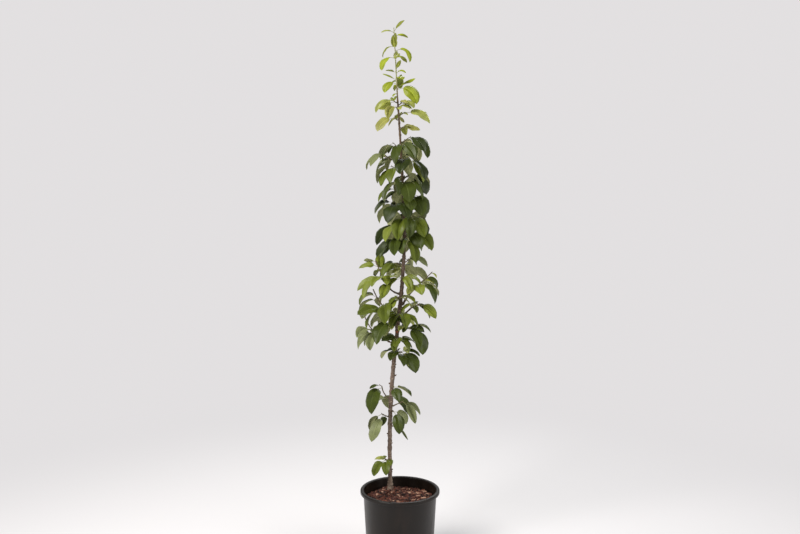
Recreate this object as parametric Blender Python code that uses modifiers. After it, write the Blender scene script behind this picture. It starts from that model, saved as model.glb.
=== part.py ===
"""Dwarf apple tree in a black nursery pot: a slim young tree of column shape, in metres, +Z up.

The pot stands on z = 0 with its axis on the Z axis. A heading is an angle in plan, in degrees:
0 is +X, to the right of the front view, 90 is +Y, away from the viewer, and 270 is towards it.
A rise is an angle above the level, in degrees.
"""

import math
import random
from collections import namedtuple

import bmesh
import bpy
from mathutils import Matrix, Vector
from mathutils.bvhtree import BVHTree

GAP = 0.0003

# Pot: a blown nursery container with a rolled lip
POT_HEIGHT = 0.240
RIM_RADIUS = 0.1275
BODY_TOP_RADIUS = 0.1180
BASE_RADIUS = 0.1040
POT_WALL = 0.0018
POT_FLOOR = 0.0030
LIP_HEIGHT = 0.0105
LIP_ROUND = 0.0035
BASE_ROUND = 0.0040
POT_SIDES = 36
DRAIN_COUNT = 8
DRAIN_RADIUS = 0.0065
DRAIN_RING_RADIUS = 0.0840
DRAIN_SIDES = 8

# Potting mix: level fill with a low mound where the trunk stands
FILL_LEVEL = 0.207
MOUND_HEIGHT = 0.012
MOUND_FOOT_RADIUS = 0.045
MOUND_TOP_RADIUS = 0.018
SOIL_TOP = FILL_LEVEL + MOUND_HEIGHT

# Trunk: centre line from the soil to the start of the green leader shoot
TRUNK_LINE = (
    (-0.0325, 0.0580, SOIL_TOP + GAP),
    (-0.0338, 0.0520, 0.360),
    (-0.0308, 0.0455, 0.500),
    (-0.0205, 0.0380, 0.640),
    (-0.0060, 0.0300, 0.770),
    (0.0065, 0.0215, 0.896),
    (0.0145, 0.0130, 1.040),
    (0.0115, 0.0060, 1.160),
    (0.0005, 0.0010, 1.370),
    (-0.0075, 0.0000, 1.490),
)
TRUNK_GIRTH = ((0.219, 0.0070), (0.850, 0.0064), (1.080, 0.0048), (1.370, 0.0037), (1.490, 0.0028))
TRUNK_STEP = 0.034
TRUNK_FACETS = 3
FOOT_STEPS = (0.003, 0.012)
FLARE_GAIN = 0.0048
FLARE_FALL = 0.010
FLARE_LOBES = 3
FLARE_LOBE_DEPTH = 0.16

# Leaf: stalk, width and thickness as shares of the blade's length
STALK_SHARE = 0.30
STALK_RADIUS = 0.0007
WIDTH_SHARE = 0.61
THICK_SHARE = 0.016
FOLD = 24.0
BELLY = 0.42
BASE_POWER = 0.55
TIP_POWER = 0.76
BLADE_STATIONS = (0.13, 0.46, 0.80)
LINE_STEP = 0.02

# Growth: stems, side twigs and the room that each piece keeps from its neighbours
SEED = 11
CLEARANCE = 0.0007
SEAT_STEP = 0.002
SEAT_SPAN = 0.004
LIMB_STEP = 0.014
LIMB_FACETS = 0
STEM_TIP_RADIUS = 0.0012
TWIG_LENGTH = 0.012
TWIG_SPREAD = 0.2
TWIG_RADIUS = 0.0013
TWIG_TIP_RADIUS = 0.0011
TWIG_RISE = (40.0, 20.0)
TWIG_EVERY = 3
TWIG_STEM_LENGTH = 0.018
LEAF_ROOT_SHARE = 0.96
WELD = 0.000001

# Growth: tries of a leaf. Each new one may turn, tilt and roll it further and shortens it more
TRIES = 26
TURN_SPREAD = (4.0, 50.0)
SWAY_SPREAD = (5.0, 22.0)
SET_ROLL_SPREAD = 6.0
LENGTH_SPREAD = 0.06
LENGTH_LOSS = 0.2

Habit = namedtuple("Habit", "length lift droop curl roll reach twigs")
Bough = namedtuple("Bough", "name height heading length rise turn radius")
Spur = namedtuple("Spur", "name zone seat height heading length rise turn radius leaves")
Leaf = namedtuple("Leaf", "root heading lift droop roll length curl")
Mass = namedtuple("Mass", "name zone stem twigs leaves")

# Leaves of each zone: blade length, rise of the stalk and of the tip, curl and spread of the roll,
# then how far from the trunk's line they reach, and whether long stems carry side twigs
HABITS = {
    "foot": Habit(0.056, 40.0, -62.0, 0.7, 20.0, 0.080, True),
    "lower": Habit(0.074, 25.0, -80.0, 0.6, 25.0, 0.112, True),
    "middle": Habit(0.070, 28.0, -76.0, 0.7, 30.0, 0.155, True),
    "upper": Habit(0.079, 28.0, -86.0, 0.55, 34.0, 0.093, True),
    "crest": Habit(0.056, 35.0, -55.0, 0.7, 15.0, 0.105, True),
    "leader": Habit(0.050, 40.0, -60.0, 0.65, 12.0, 0.080, False),
}
CROWN_TOP = 1.752
CROWN_FOOT = SOIL_TOP + MOUND_HEIGHT

# Looks: base colour and roughness of each material
LOOKS = {
    "black_plastic": ((0.028, 0.025, 0.024), 0.45),
    "bark_mulch": ((0.110, 0.042, 0.026), 0.90),
    "bark": ((0.175, 0.125, 0.090), 0.85),
    "leaf_foot": ((0.200, 0.260, 0.100), 0.50),
    "leaf_lower": ((0.080, 0.125, 0.045), 0.45),
    "leaf_middle": ((0.140, 0.215, 0.070), 0.45),
    "leaf_upper": ((0.040, 0.065, 0.024), 0.40),
    "leaf_crest": ((0.215, 0.275, 0.105), 0.50),
    "leaf_leader": ((0.300, 0.370, 0.120), 0.50),
}

BOUGHS = (
    Bough("bough_right_high", 0.834, 350, 0.060, (62, 45), 10, (0.0036, 0.0029)),
    Bough("bough_right_low", 0.794, 10, 0.038, (36, 44), -10, (0.0030, 0.0025)),
    Bough("bough_left_high", 0.866, 172, 0.036, (12, 50), 0, (0.0029, 0.0024)),
    Bough("bough_left_middle", 0.785, 195, 0.052, (35, 50), -8, (0.0031, 0.0026)),
    Bough("bough_left_low", 0.703, 178, 0.050, (20, 34), 0, (0.0027, 0.0022)),
    Bough("bough_back_high", 0.890, 75, 0.040, (40, 55), 15, (0.0030, 0.0025)),
    Bough("bough_back_low", 0.745, 105, 0.040, (30, 50), -15, (0.0030, 0.0025)),
)

# Each leaf is (share along the stem, heading, size) and, where it stands out, (lift, droop, roll)
SPURS = [
    Spur("leader", "leader", "tip", 1.490, 180, 0.230, (87, 87), 0, 0.0024, (
        (1.0, 350, 0.72, 58, 30, 0), (0.98, 190, 0.68, 42, -40, 0), (0.94, 10, 0.70, 25, -20, 0),
        (0.72, 250, 0.74, 80, 56, 20), (0.78, 175, 0.95, 35, -92, 0), (0.72, 350, 1.15, 45, -95, -10),
        (0.61, 190, 1.20, 35, -98, 10), (0.44, 320, 0.66, 84, 66, 0), (0.41, 160, 0.60, 20, 10, -16),
        (0.30, 175, 0.80, 22, 22, -16), (0.20, 350, 0.95, 10, 28, 16), (0.24, 205, 1.05, 35, -90, -20),
        (0.16, 345, 1.50, 40, -88, 10), (0.14, 25, 1.15, 62, 94, 66), (0.09, 230, 0.45, 10, -60, 0))),
    Spur("crest_left_high", "crest", "trunk", 1.484, 180, 0.012, (30, 40), 0, 0.0015, (
        (0.9, 190, 1.05, 20, -75, 0), (0.5, 155, 0.90, 0, -28, 60), (0.7, 225, 0.45))),
    Spur("crest_right_high", "crest", "trunk", 1.476, 340, 0.010, (35, 45), 0, 0.0015, (
        (0.9, 335, 0.78, 45, -75, 0), (0.6, 30, 0.60))),
    Spur("crest_front", "crest", "trunk", 1.460, 240, 0.010, (30, 40), 0, 0.0015, (
        (0.9, 235, 0.95, 25, -88, 0), (0.5, 300, 0.45))),
    Spur("crest_right_low", "crest", "trunk", 1.444, 0, 0.014, (25, 30), 0, 0.0016, (
        (0.9, 358, 1.30, 22, -60, 10), (0.5, 320, 0.35))),
    Spur("crest_left_low", "crest", "trunk", 1.428, 185, 0.010, (30, 40), 0, 0.0016, (
        (0.9, 188, 1.10, 15, -72, 0), (0.5, 120, 0.75))),
    Spur("crest_right_foot", "crest", "trunk", 1.402, 10, 0.008, (10, 10), 0, 0.0016, (
        (0.9, 5, 0.80, 0, -15, 40), (0.5, 70, 0.80))),
    Spur("shoulder_left", "middle", "trunk", 1.290, 182, 0.068, (24, 18), 0, 0.0018, (
        (1.0, 184, 0.80, 15, -95, 0), (0.6, 215, 0.95), (0.35, 150, 1.00))),
    Spur("right_high", "middle", "bough_right_high", 0, 350, 0.078, (42, 44), 0, 0.0026, (
        (0.98, 335, 0.30), (0.42, 348, 0.80, 80, -85, 0), (0.35, 318, 1.15, 15, -82, 20),
        (0.50, 352, 1.00, 5, -88, 0), (0.10, 285, 0.85), (0.22, 250, 0.80), (0.45, 60, 0.95))),
    Spur("right_low", "middle", "bough_right_low", 0, 5, 0.026, (30, 12), 0, 0.0022, (
        (1.0, 5, 0.80, 8, -45, 45), (0.7, 335, 0.90, -5, -75, 20), (0.4, 290, 0.50), (0.6, 40, 1.00))),
    Spur("right_inner", "middle", "trunk", 0.752, 345, 0.036, (12, -5), 0, 0.0018, (
        (0.70, 318, 1.05, 20, -80, 0), (1.0, 345, 1.15, -30, -88, 10), (0.4, 20, 0.95))),
    Spur("right_foot", "middle", "trunk", 0.672, 350, 0.014, (20, 10), 0, 0.0017, (
        (0.9, 340, 0.95, 0, -88, 10), (0.6, 282, 0.80, 10, -75, 0))),
    Spur("left_high", "middle", "bough_left_high", 0, 168, 0.098, (58, 68), 0, 0.0022, (
        (1.0, 175, 0.45, 30, -20, 0), (0.55, 110, 0.80, 85, 60, 0), (0.40, 178, 1.12, 12, -55, 0),
        (0.36, 205, 1.12, 10, -72, 0), (0.30, 240, 0.85), (0.10, 262, 0.90), (0.45, 290, 0.70))),
    Spur("left_middle", "middle", "bough_left_middle", 0, 190, 0.070, (50, 68), 0, 0.0023, (
        (0.55, 185, 0.95, 60, -88, 0), (0.10, 280, 1.05), (0.05, 225, 1.15, 5, -28, -25),
        (0.15, 200, 1.05, -10, -85, 0), (0.30, 150, 0.95))),
    Spur("left_low", "middle", "bough_left_low", 0, 178, 0.086, (36, 74), 0, 0.0020, (
        (0.20, 182, 0.95, 30, -85, 0), (0.30, 215, 0.80), (0.15, 155, 0.85), (0.05, 235, 0.90))),
    Spur("left_inner", "middle", "trunk", 0.775, 220, 0.020, (20, 10), 0, 0.0017, (
        (0.9, 222, 1.20, 10, -92, 10), (0.5, 190, 0.70, -50, -85, 60))),
    Spur("front_middle", "middle", "trunk", 0.795, 285, 0.016, (25, 15), 0, 0.0017, (
        (0.9, 290, 0.95), (0.5, 330, 0.85), (0.7, 245, 0.80))),
    Spur("front_high", "middle", "trunk", 0.915, 262, 0.016, (30, 20), 0, 0.0017, (
        (0.9, 235, 0.80, 18, -35, 0), (0.6, 295, 0.90), (0.4, 200, 0.80))),
    Spur("front_fork", "middle", "trunk", 0.850, 235, 0.014, (25, 15), 0, 0.0017, (
        (0.9, 250, 0.85, 5, -80, 0), (0.5, 205, 0.80), (0.7, 325, 0.70))),
    Spur("front_low", "middle", "trunk", 0.715, 300, 0.012, (20, 10), 0, 0.0017, (
        (0.9, 310, 0.80), (0.5, 255, 0.75))),
    Spur("right_neck", "middle", "trunk", 0.970, 35, 0.018, (30, 30), 0, 0.0017, (
        (0.9, 352, 0.80, 35, -88, 0), (0.5, 70, 0.95))),
    Spur("back_high", "middle", "bough_back_high", 0, 88, 0.050, (48, 55), 0, 0.0020, 6),
    Spur("back_low", "middle", "bough_back_low", 0, 95, 0.050, (42, 50), 0, 0.0020, 6),
    Spur("back_neck", "middle", "trunk", 0.955, 140, 0.020, (30, 30), 0, 0.0017, 3),
    Spur("back_foot", "middle", "trunk", 0.665, 50, 0.020, (30, 20), 0, 0.0017, 3),
    Spur("lower_left_high", "lower", "trunk", 0.523, 185, 0.046, (38, 85), 0, 0.0026, (
        (0.90, 240, 1.22, 35, -92, 0), (1.0, 225, 0.55, 15, -30, 0))),
    Spur("lower_right_high", "lower", "trunk", 0.498, 350, 0.032, (28, 18), 0, 0.0024, (
        (1.0, 355, 0.85, 12, -78, 40), (0.85, 325, 0.85, -10, -82, 30))),
    Spur("lower_front", "lower", "trunk", 0.562, 290, 0.010, (20, 10), 0, 0.0017, (
        (0.9, 285, 0.75, 10, -70, 0), (0.5, 335, 0.75, 15, -70, 0))),
    Spur("lower_right_low", "lower", "trunk", 0.480, 305, 0.008, (20, 10), 0, 0.0017, (
        (0.9, 300, 0.85, 0, -85, 0), (0.5, 15, 0.70, 10, -80, 0))),
    Spur("lower_left_low", "lower", "trunk", 0.462, 200, 0.018, (20, 30), 0, 0.0017, (
        (0.9, 236, 1.05, -5, -92, 15), (0.6, 190, 0.75, -10, -85, 50), (0.4, 245, 0.50))),
    Spur("lower_lone", "lower", "trunk", 0.430, 350, 0.018, (5, 0), 0, 0.0016, (
        (1.0, 350, 0.62, -35, -80, 85),)),
    Spur("lower_back", "lower", "trunk", 0.515, 95, 0.016, (30, 20), 0, 0.0017, 3),
    Spur("foot_left", "foot", "trunk", 0.316, 205, 0.007, (20, 20), 0, 0.0017, (
        (0.9, 218, 0.92, 10, -85, 0), (0.6, 255, 0.85, 5, -85, 0), (0.3, 295, 0.62), (0.5, 120, 0.80))),
]

# Dense head: spurs that follow each other round the trunk by the golden angle
HEAD_SPURS = 15
HEAD_HEIGHTS = (1.030, 1.356)
HEAD_START = 235.0
SPUR_TURN = 137.5
HEAD_LENGTH = 0.019
HEAD_RISE = (30, 35)
HEAD_RADIUS = 0.0018
HEAD_LEAVES = 5
FAN = 165.0
FAN_STAGGER = 1.1


def head_spurs():
    """The spurs of the dense head, from the lowest to the highest."""
    low, high = HEAD_HEIGHTS
    spurs = []
    for k in range(HEAD_SPURS):
        name = f"head_{k + 1:02d}"
        height = low + (high - low) * k / (HEAD_SPURS - 1)
        heading = HEAD_START + SPUR_TURN * k
        shape = (HEAD_LENGTH, HEAD_RISE, 0, HEAD_RADIUS)
        spurs.append(Spur(name, "upper", "trunk", height, heading, *shape, HEAD_LEAVES))
    return spurs


def fanned(heading, count):
    """Leaves spread as a fan about a heading, the outer ones nearer the stem's foot."""
    rows = []
    for k in range(count):
        share = k / (count - 1) - 0.5
        rows.append((1.0 - FAN_STAGGER * abs(share), heading + FAN * share, 1.0))
    return sorted(rows)


def between(rows, key):
    """Reads rows of (key, amount) at a key, straight between neighbouring rows."""
    for (low, before), (high, after) in zip(rows, rows[1:]):
        if key <= high:
            share = max(0.0, (key - low) / (high - low))
            return before + (after - before) * share
    return rows[-1][1]


def aim(heading, rise):
    """Unit vector of a heading and a rise."""
    turn, lift = math.radians(heading), math.radians(rise)
    level = math.cos(lift)
    return Vector((math.cos(turn) * level, math.sin(turn) * level, math.sin(lift)))


def trunk_point(height):
    """Point of the trunk's centre line at a height, on a smooth curve through TRUNK_LINE."""
    line = [Vector(point) for point in TRUNK_LINE]
    i = next((i for i in range(len(line) - 2) if height <= line[i + 1].z), len(line) - 2)

    def slope(k):
        before, after = line[max(k - 1, 0)], line[min(k + 1, len(line) - 1)]
        return (after - before) / (after.z - before.z)

    span = line[i + 1].z - line[i].z
    t = (height - line[i].z) / span
    return (
        line[i] * (2 * t**3 - 3 * t**2 + 1)
        + slope(i) * span * (t**3 - 2 * t**2 + t)
        + line[i + 1] * (3 * t**2 - 2 * t**3)
        + slope(i + 1) * span * (t**3 - t**2)
    )


def limb_path(start, first, heading, length, rise, turn):
    """Points of a limb: a short first step, then steps whose rise and heading change evenly."""
    points = [start, start + first * SEAT_STEP]
    steps = max(2, round(length / LIMB_STEP))
    for k in range(steps):
        share = (k + 0.5) / steps
        lift = rise[0] + (rise[1] - rise[0]) * share
        points.append(points[-1] + aim(heading + turn * share, lift) * (length / steps))
    return points


def along(points, share):
    """Point at a share of a path's length, and the direction there."""
    lengths = [(b - a).length for a, b in zip(points, points[1:])]
    left = share * sum(lengths)
    for a, b, length in zip(points, points[1:], lengths):
        if left <= length + 1e-9:
            return a + (b - a) * (left / length), (b - a).normalized()
        left -= length
    return points[-1], (points[-1] - points[-2]).normalized()


def tapered(points, radius):
    """A limb as (points, radii), its radius falling evenly from the first value to the second."""
    last = len(points) - 1
    return points, [radius[0] + (radius[1] - radius[0]) * k / last for k in range(last + 1)]


def trunk_seat(height, heading):
    """Start and first direction of a limb that sits on the trunk's side with its end square to it."""
    centre = trunk_point(height)
    axis = (trunk_point(height + SEAT_SPAN) - trunk_point(height - SEAT_SPAN)).normalized()
    out = aim(heading, 0)
    out = (out - axis * out.dot(axis)).normalized()
    return centre + out * (between(TRUNK_GIRTH, height) + GAP), out


def tip_seat(points):
    """Start and first direction of a limb that grows on from another one's tip."""
    out = (points[-1] - points[-2]).normalized()
    return points[-1] + out * GAP, out


def blade_half_width(share, length):
    """Half the blade's width at a share of its length: rounded at the base, pointed at the tip."""
    if share <= 0.0:
        return STALK_RADIUS
    swell = (share / BELLY) ** BASE_POWER * ((1 - share) / (1 - BELLY)) ** TIP_POWER
    return max(STALK_RADIUS, swell * WIDTH_SHARE * length / 2)


def leaf_rise(leaf, share):
    """Rise of a leaf's line at a share of its length, the stalk included."""
    return leaf.lift + (leaf.droop - leaf.lift) * share**leaf.curl


def leaf_line(leaf, shares):
    """Point and direction of a leaf's line at each of some growing shares of its length."""
    whole = (1.0 + STALK_SHARE) * leaf.length
    point, done = leaf.root.copy(), 0.0
    for share in shares:
        while share - done > 1e-9:
            step = min(LINE_STEP, share - done)
            point = point + aim(leaf.heading, leaf_rise(leaf, done + step / 2)) * (step * whole)
            done += step
        yield point, aim(leaf.heading, leaf_rise(leaf, share))


def leaf_rings(leaf, stations, extra=0.0, stalk=True):
    """Four-point sections of a leaf, and its tip. A section is left edge, top, right edge, bottom."""
    blades = [-STALK_SHARE] if stalk else []
    blades += [0.0, *stations]
    shares = [(STALK_SHARE + blade) / (1.0 + STALK_SHARE) for blade in (*blades, 1.0)]
    *sections, (tip, tip_forward) = leaf_line(leaf, shares)
    side = aim(leaf.heading + 90, 0)
    rings = []
    for blade, (point, forward) in zip(blades, sections):
        twist = math.radians(leaf.roll) * min(1.0, 1.0 + blade / STALK_SHARE)
        roll = Matrix.Rotation(twist, 3, forward)
        half = blade_half_width(blade, leaf.length) + extra
        thick = (THICK_SHARE * leaf.length / 2 if blade > 0 else STALK_RADIUS) + extra
        fold = math.radians(FOLD) if blade > 0 else 0.0
        up = roll @ forward.cross(side)
        across = roll @ side * (half * math.cos(fold))
        middle = point + up * (half * math.sin(fold))
        rings.append((middle + across, point + up * thick, middle - across, point - up * thick))
    return rings, tip + tip_forward * extra


def loft(rings, tip=None):
    """Vertices and faces of a closed skin over sections of equal count, ending in a point or a cap."""
    count = len(rings[0])
    points = [corner for ring in rings for corner in ring]
    faces = [tuple(range(count - 1, -1, -1))]
    for base in range(0, count * (len(rings) - 1), count):
        for k in range(count):
            n = (k + 1) % count
            faces.append((base + k, base + n, base + count + n))
            faces.append((base + k, base + count + n, base + count + k))
    end = count * (len(rings) - 1)
    if tip is None:
        faces.append(tuple(range(end, end + count)))
    else:
        points.append(tip)
        faces += [(end + k, end + (k + 1) % count, len(points) - 1) for k in range(count)]
    return points, faces


def limb_rings(limb, extra=0.0, count=6):
    """Round sections of a limb, for the tests that keep leaves clear of it."""
    points, radii = limb
    rings = []
    for k, point in enumerate(points):
        forward = (points[min(k + 1, len(points) - 1)] - points[max(k - 1, 0)]).normalized()
        side = forward.orthogonal().normalized()
        up = forward.cross(side)
        ring = []
        for j in range(count):
            angle = -2 * math.pi * j / count
            ring.append(point + (side * math.cos(angle) + up * math.sin(angle)) * (radii[k] + extra))
        rings.append(ring)
    return rings


class Space:
    """What already stands in the crown, so that a new leaf can be tested against it."""

    def __init__(self):
        self.taken = []

    def add(self, owner, skin):
        points, faces = skin
        low = [min(p[i] for p in points) for i in range(3)]
        high = [max(p[i] for p in points) for i in range(3)]
        self.taken.append((owner, low, high, BVHTree.FromPolygons(points, faces)))

    def clear(self, skin, owner=None, own=False):
        """True where a skin crosses nothing: only its owner's pieces if own is set, else all others."""
        points, faces = skin
        low = [min(p[i] for p in points) for i in range(3)]
        high = [max(p[i] for p in points) for i in range(3)]
        tree = None
        for other, other_low, other_high, other_tree in self.taken:
            if (other == owner) != own:
                continue
            if any(high[i] < other_low[i] or low[i] > other_high[i] for i in range(3)):
                continue
            tree = tree or BVHTree.FromPolygons(points, faces)
            if tree.overlap(other_tree):
                return False
        return True


def in_crown(points, reach):
    """True where every point keeps within reach of the trunk's line and above the potting mix."""
    for point in points:
        if point.z > CROWN_TOP or point.z < CROWN_FOOT:
            return False
        centre = trunk_point(min(point.z, TRUNK_LINE[-1][2]))
        if math.hypot(point.x - centre.x, point.y - centre.y) > reach:
            return False
    return True


def grow_twig(space, owner, stem, row, rng):
    """A short side twig towards the leaf of its row, or None where it would touch a neighbour."""
    start, _ = along(stem[0], row[0] * LEAF_ROOT_SHARE)
    step = TWIG_LENGTH * rng.uniform(1 - TWIG_SPREAD, 1 + TWIG_SPREAD) / len(TWIG_RISE)
    path = [start]
    for rise in TWIG_RISE:
        path.append(path[-1] + aim(row[1], rise) * step)
    twig = tapered(path, (TWIG_RADIUS, TWIG_TIP_RADIUS))
    skin = loft(limb_rings(twig, CLEARANCE))
    if not space.clear(skin, owner):
        return None
    space.add(owner, skin)
    return twig


def grow_leaf(space, owner, root, row, habit, rng):
    """A leaf near the place that its row asks for, turned until it clears its neighbours, or None."""
    heading, size = row[1], row[2]
    lift, droop, roll = row[3:] or (habit.lift, habit.droop, 0.0)
    roll_spread = SET_ROLL_SPREAD if row[3:] else habit.roll
    for attempt in range(TRIES):
        loose = attempt / TRIES
        turn = rng.uniform(-1, 1) * (TURN_SPREAD[0] + TURN_SPREAD[1] * loose)
        sway = rng.uniform(-1, 1) * (SWAY_SPREAD[0] + SWAY_SPREAD[1] * loose)
        spin = rng.uniform(-1, 1) * roll_spread * (1 + loose)
        length = habit.length * size * (1 + rng.uniform(-1, 1) * LENGTH_SPREAD)
        length *= 1 - LENGTH_LOSS * loose
        shape = (lift + sway, droop + sway / 2, roll + spin, length, habit.curl)
        leaf = Leaf(root, heading + turn, *shape)
        whole = loft(*leaf_rings(leaf, BLADE_STATIONS, CLEARANCE))
        if not in_crown(whole[0], habit.reach):
            continue
        blade = loft(*leaf_rings(leaf, BLADE_STATIONS, CLEARANCE, stalk=False))
        if space.clear(whole, owner) and space.clear(blade, owner, own=True):
            space.add(owner, whole)
            return leaf
    return None


def grow_mass(space, spur, stem):
    """The mass of a spur: leaves on its stem or, where a side twig finds room, on that."""
    habit = HABITS[spur.zone]
    twiggy = habit.twigs and spur.length >= TWIG_STEM_LENGTH
    rng = random.Random(f"{SEED} {spur.name}")
    rows = spur.leaves if isinstance(spur.leaves, tuple) else fanned(spur.heading, spur.leaves)
    mass = Mass(spur.name, spur.zone, stem, [], [])
    for k, row in enumerate(rows):
        twig = None
        if twiggy and k % TWIG_EVERY == 1:
            twig = grow_twig(space, spur.name, stem, row, rng)
        path, share = (twig[0], 1.0) if twig else (stem[0], row[0])
        root, _ = along(path, LEAF_ROOT_SHARE * share)
        leaf = grow_leaf(space, spur.name, root, row, habit, rng)
        if leaf:
            mass.leaves.append(leaf)
        if leaf and twig:
            mass.twigs.append(twig)
    return mass


def grow_trunk():
    """The trunk as (points, radii), upright for its first millimetres so that its cut is level."""
    foot, top = TRUNK_LINE[0][2], TRUNK_LINE[-1][2]
    heights = [foot + step for step in FOOT_STEPS]
    steps = round((top - heights[-1]) / TRUNK_STEP)
    heights += [heights[-1] + (top - heights[-1]) * (k + 1) / steps for k in range(steps)]
    points = [trunk_point(height) for height in heights]
    points.insert(0, Vector((points[0].x, points[0].y, foot)))
    flares = [FLARE_GAIN * math.exp((foot - point.z) / FLARE_FALL) for point in points]
    return points, [between(TRUNK_GIRTH, point.z) + flare for point, flare in zip(points, flares)]


def grow_tree():
    """The limbs and the masses of the tree, as centre lines, radii and leaves."""
    limbs = {"trunk": grow_trunk()}
    for bough in BOUGHS:
        start, out = trunk_seat(bough.height, bough.heading)
        path = limb_path(start, out, bough.heading, bough.length, bough.rise, bough.turn)
        limbs[bough.name] = tapered(path, bough.radius)
    space = Space()
    for name, limb in limbs.items():
        space.add(name, loft(limb_rings(limb, CLEARANCE)))
    spurs, stems = SPURS + head_spurs(), []
    for spur in spurs:
        if spur.seat == "trunk":
            start, out = trunk_seat(spur.height, spur.heading)
        else:
            start, out = tip_seat(limbs["trunk" if spur.seat == "tip" else spur.seat][0])
        path = limb_path(start, out, spur.heading, spur.length, spur.rise, spur.turn)
        stems.append(tapered(path, (spur.radius, STEM_TIP_RADIUS)))
        space.add(spur.name, loft(limb_rings(stems[-1], CLEARANCE)))
    return limbs, [grow_mass(space, spur, stem) for spur, stem in zip(spurs, stems)]


def new_material(name):
    """A Principled material of one plain colour, as LOOKS gives it."""
    colour, roughness = LOOKS[name]
    material = bpy.data.materials.new(name)
    material.use_nodes = True
    shader = material.node_tree.nodes["Principled BSDF"]
    shader.inputs["Base Color"].default_value = (*colour, 1.0)
    shader.inputs["Roughness"].default_value = roughness
    shader.inputs["Metallic"].default_value = 0.0
    return material


def new_collection(name):
    """A collection of the scene."""
    group = bpy.data.collections.new(name)
    bpy.context.scene.collection.children.link(group)
    return group


def new_object(name, data, group, material=None):
    """An object of a collection, with its material."""
    obj = bpy.data.objects.new(name, data)
    if material:
        data.materials.append(material)
    group.objects.link(obj)
    return obj


def turned(name, profile, group, material=None):
    """A shape turned about its own Z axis from a profile of (radius, height)."""
    mesh = bpy.data.meshes.new(name)
    mesh.from_pydata([(r, 0, z) for r, z in profile], [(k, k + 1) for k in range(len(profile) - 1)], [])
    obj = new_object(name, mesh, group, material)
    screw = obj.modifiers.new("turn", "SCREW")
    screw.steps = screw.render_steps = POT_SIDES
    screw.use_merge_vertices = True
    screw.merge_threshold = WELD
    screw.use_smooth_shade = True
    return obj


def arc(centre, radius, start, end, steps=3):
    """Points of a rounded corner in a profile, from one angle to the other, in degrees."""
    points = []
    for k in range(steps + 1):
        angle = math.radians(start + (end - start) * k / steps)
        points.append((centre[0] + radius * math.cos(angle), centre[1] + radius * math.sin(angle)))
    return points


def wall_radius(height):
    """Outer radius of the pot's straight, tapering body at a height."""
    return BASE_RADIUS + (BODY_TOP_RADIUS - BASE_RADIUS) * height / POT_HEIGHT


def use_as_tool(obj):
    """Marks an object that only cuts or joins others."""
    obj.hide_render = True
    obj.display_type = "WIRE"
    return obj


def add_boolean(obj, operation, tool):
    """Cuts an object by a tool, or joins the tool to it."""
    boolean = obj.modifiers.new(operation.lower(), "BOOLEAN")
    boolean.operation = operation
    boolean.object = tool
    boolean.solver = "EXACT"


def build_pot(parts, tools, material):
    """The container: a thin tapering wall, a rolled lip and a floor with drain holes."""
    inner_top = wall_radius(POT_HEIGHT) - POT_WALL
    lip_top = POT_HEIGHT - LIP_ROUND
    lip_foot = POT_HEIGHT - LIP_HEIGHT
    bevel = LIP_ROUND / 2
    profile = [(0.0, POT_FLOOR), (wall_radius(POT_FLOOR) - POT_WALL, POT_FLOOR)]
    profile += arc((inner_top + LIP_ROUND, lip_top), LIP_ROUND, 180, 90)
    profile += arc((RIM_RADIUS - LIP_ROUND, lip_top), LIP_ROUND, 90, 0)
    profile += [(RIM_RADIUS, lip_foot + bevel), (RIM_RADIUS - bevel, lip_foot)]
    profile.append((wall_radius(lip_foot), lip_foot))
    profile += arc((wall_radius(BASE_ROUND) - BASE_ROUND, BASE_ROUND), BASE_ROUND, 0, -90)
    profile.append((0.0, 0.0))
    pot = turned("pot", profile, parts, material)
    holes = bmesh.new()
    for k in range(DRAIN_COUNT):
        place = aim(360 * k / DRAIN_COUNT, 0) * DRAIN_RING_RADIUS
        bmesh.ops.create_cone(
            holes, cap_ends=True, segments=DRAIN_SIDES, radius1=DRAIN_RADIUS, radius2=DRAIN_RADIUS,
            depth=POT_FLOOR * 3, matrix=Matrix.Translation(place))
    mesh = bpy.data.meshes.new("drain_holes")
    holes.to_mesh(mesh)
    holes.free()
    add_boolean(pot, "DIFFERENCE", use_as_tool(new_object("drain_holes", mesh, tools)))
    return pot


def build_potting_mix(parts, tools, material):
    """The fill of the pot, joined to the mound that the trunk stands on."""
    floor = POT_FLOOR + GAP
    inset = POT_WALL + GAP
    profile = [(0.0, FILL_LEVEL), (wall_radius(FILL_LEVEL) - inset, FILL_LEVEL)]
    profile += [(wall_radius(floor) - inset, floor), (0.0, floor)]
    fill = turned("potting_mix", profile, parts, material)
    root = FILL_LEVEL - MOUND_HEIGHT / 2
    slope = [(0.0, SOIL_TOP), (MOUND_TOP_RADIUS, SOIL_TOP), (MOUND_FOOT_RADIUS, FILL_LEVEL)]
    mound = turned("mound", slope + [(MOUND_FOOT_RADIUS, root), (0.0, root)], tools)
    mound.location = (TRUNK_LINE[0][0], TRUNK_LINE[0][1], 0)
    add_boolean(fill, "UNION", use_as_tool(mound))
    return fill


def limb_mesh(name, limb, facets):
    """A tapering limb as a mesh, from a curve with a round section and closed ends."""
    points, radii = limb
    curve = bpy.data.curves.new(name, "CURVE")
    curve.dimensions = "3D"
    curve.bevel_depth = max(radii)
    curve.bevel_resolution = facets
    curve.use_fill_caps = True
    spline = curve.splines.new("POLY")
    spline.points.add(len(points) - 1)
    for spot, point, radius in zip(spline.points, points, radii):
        spot.co = (*point, 1.0)
        spot.radius = radius / max(radii)
    obj = bpy.data.objects.new(name, curve)
    bpy.context.scene.collection.objects.link(obj)
    graph = bpy.context.evaluated_depsgraph_get()
    mesh = bpy.data.meshes.new_from_object(obj.evaluated_get(graph))
    bpy.data.objects.remove(obj)
    bpy.data.curves.remove(curve)
    return welded(mesh)


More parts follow.
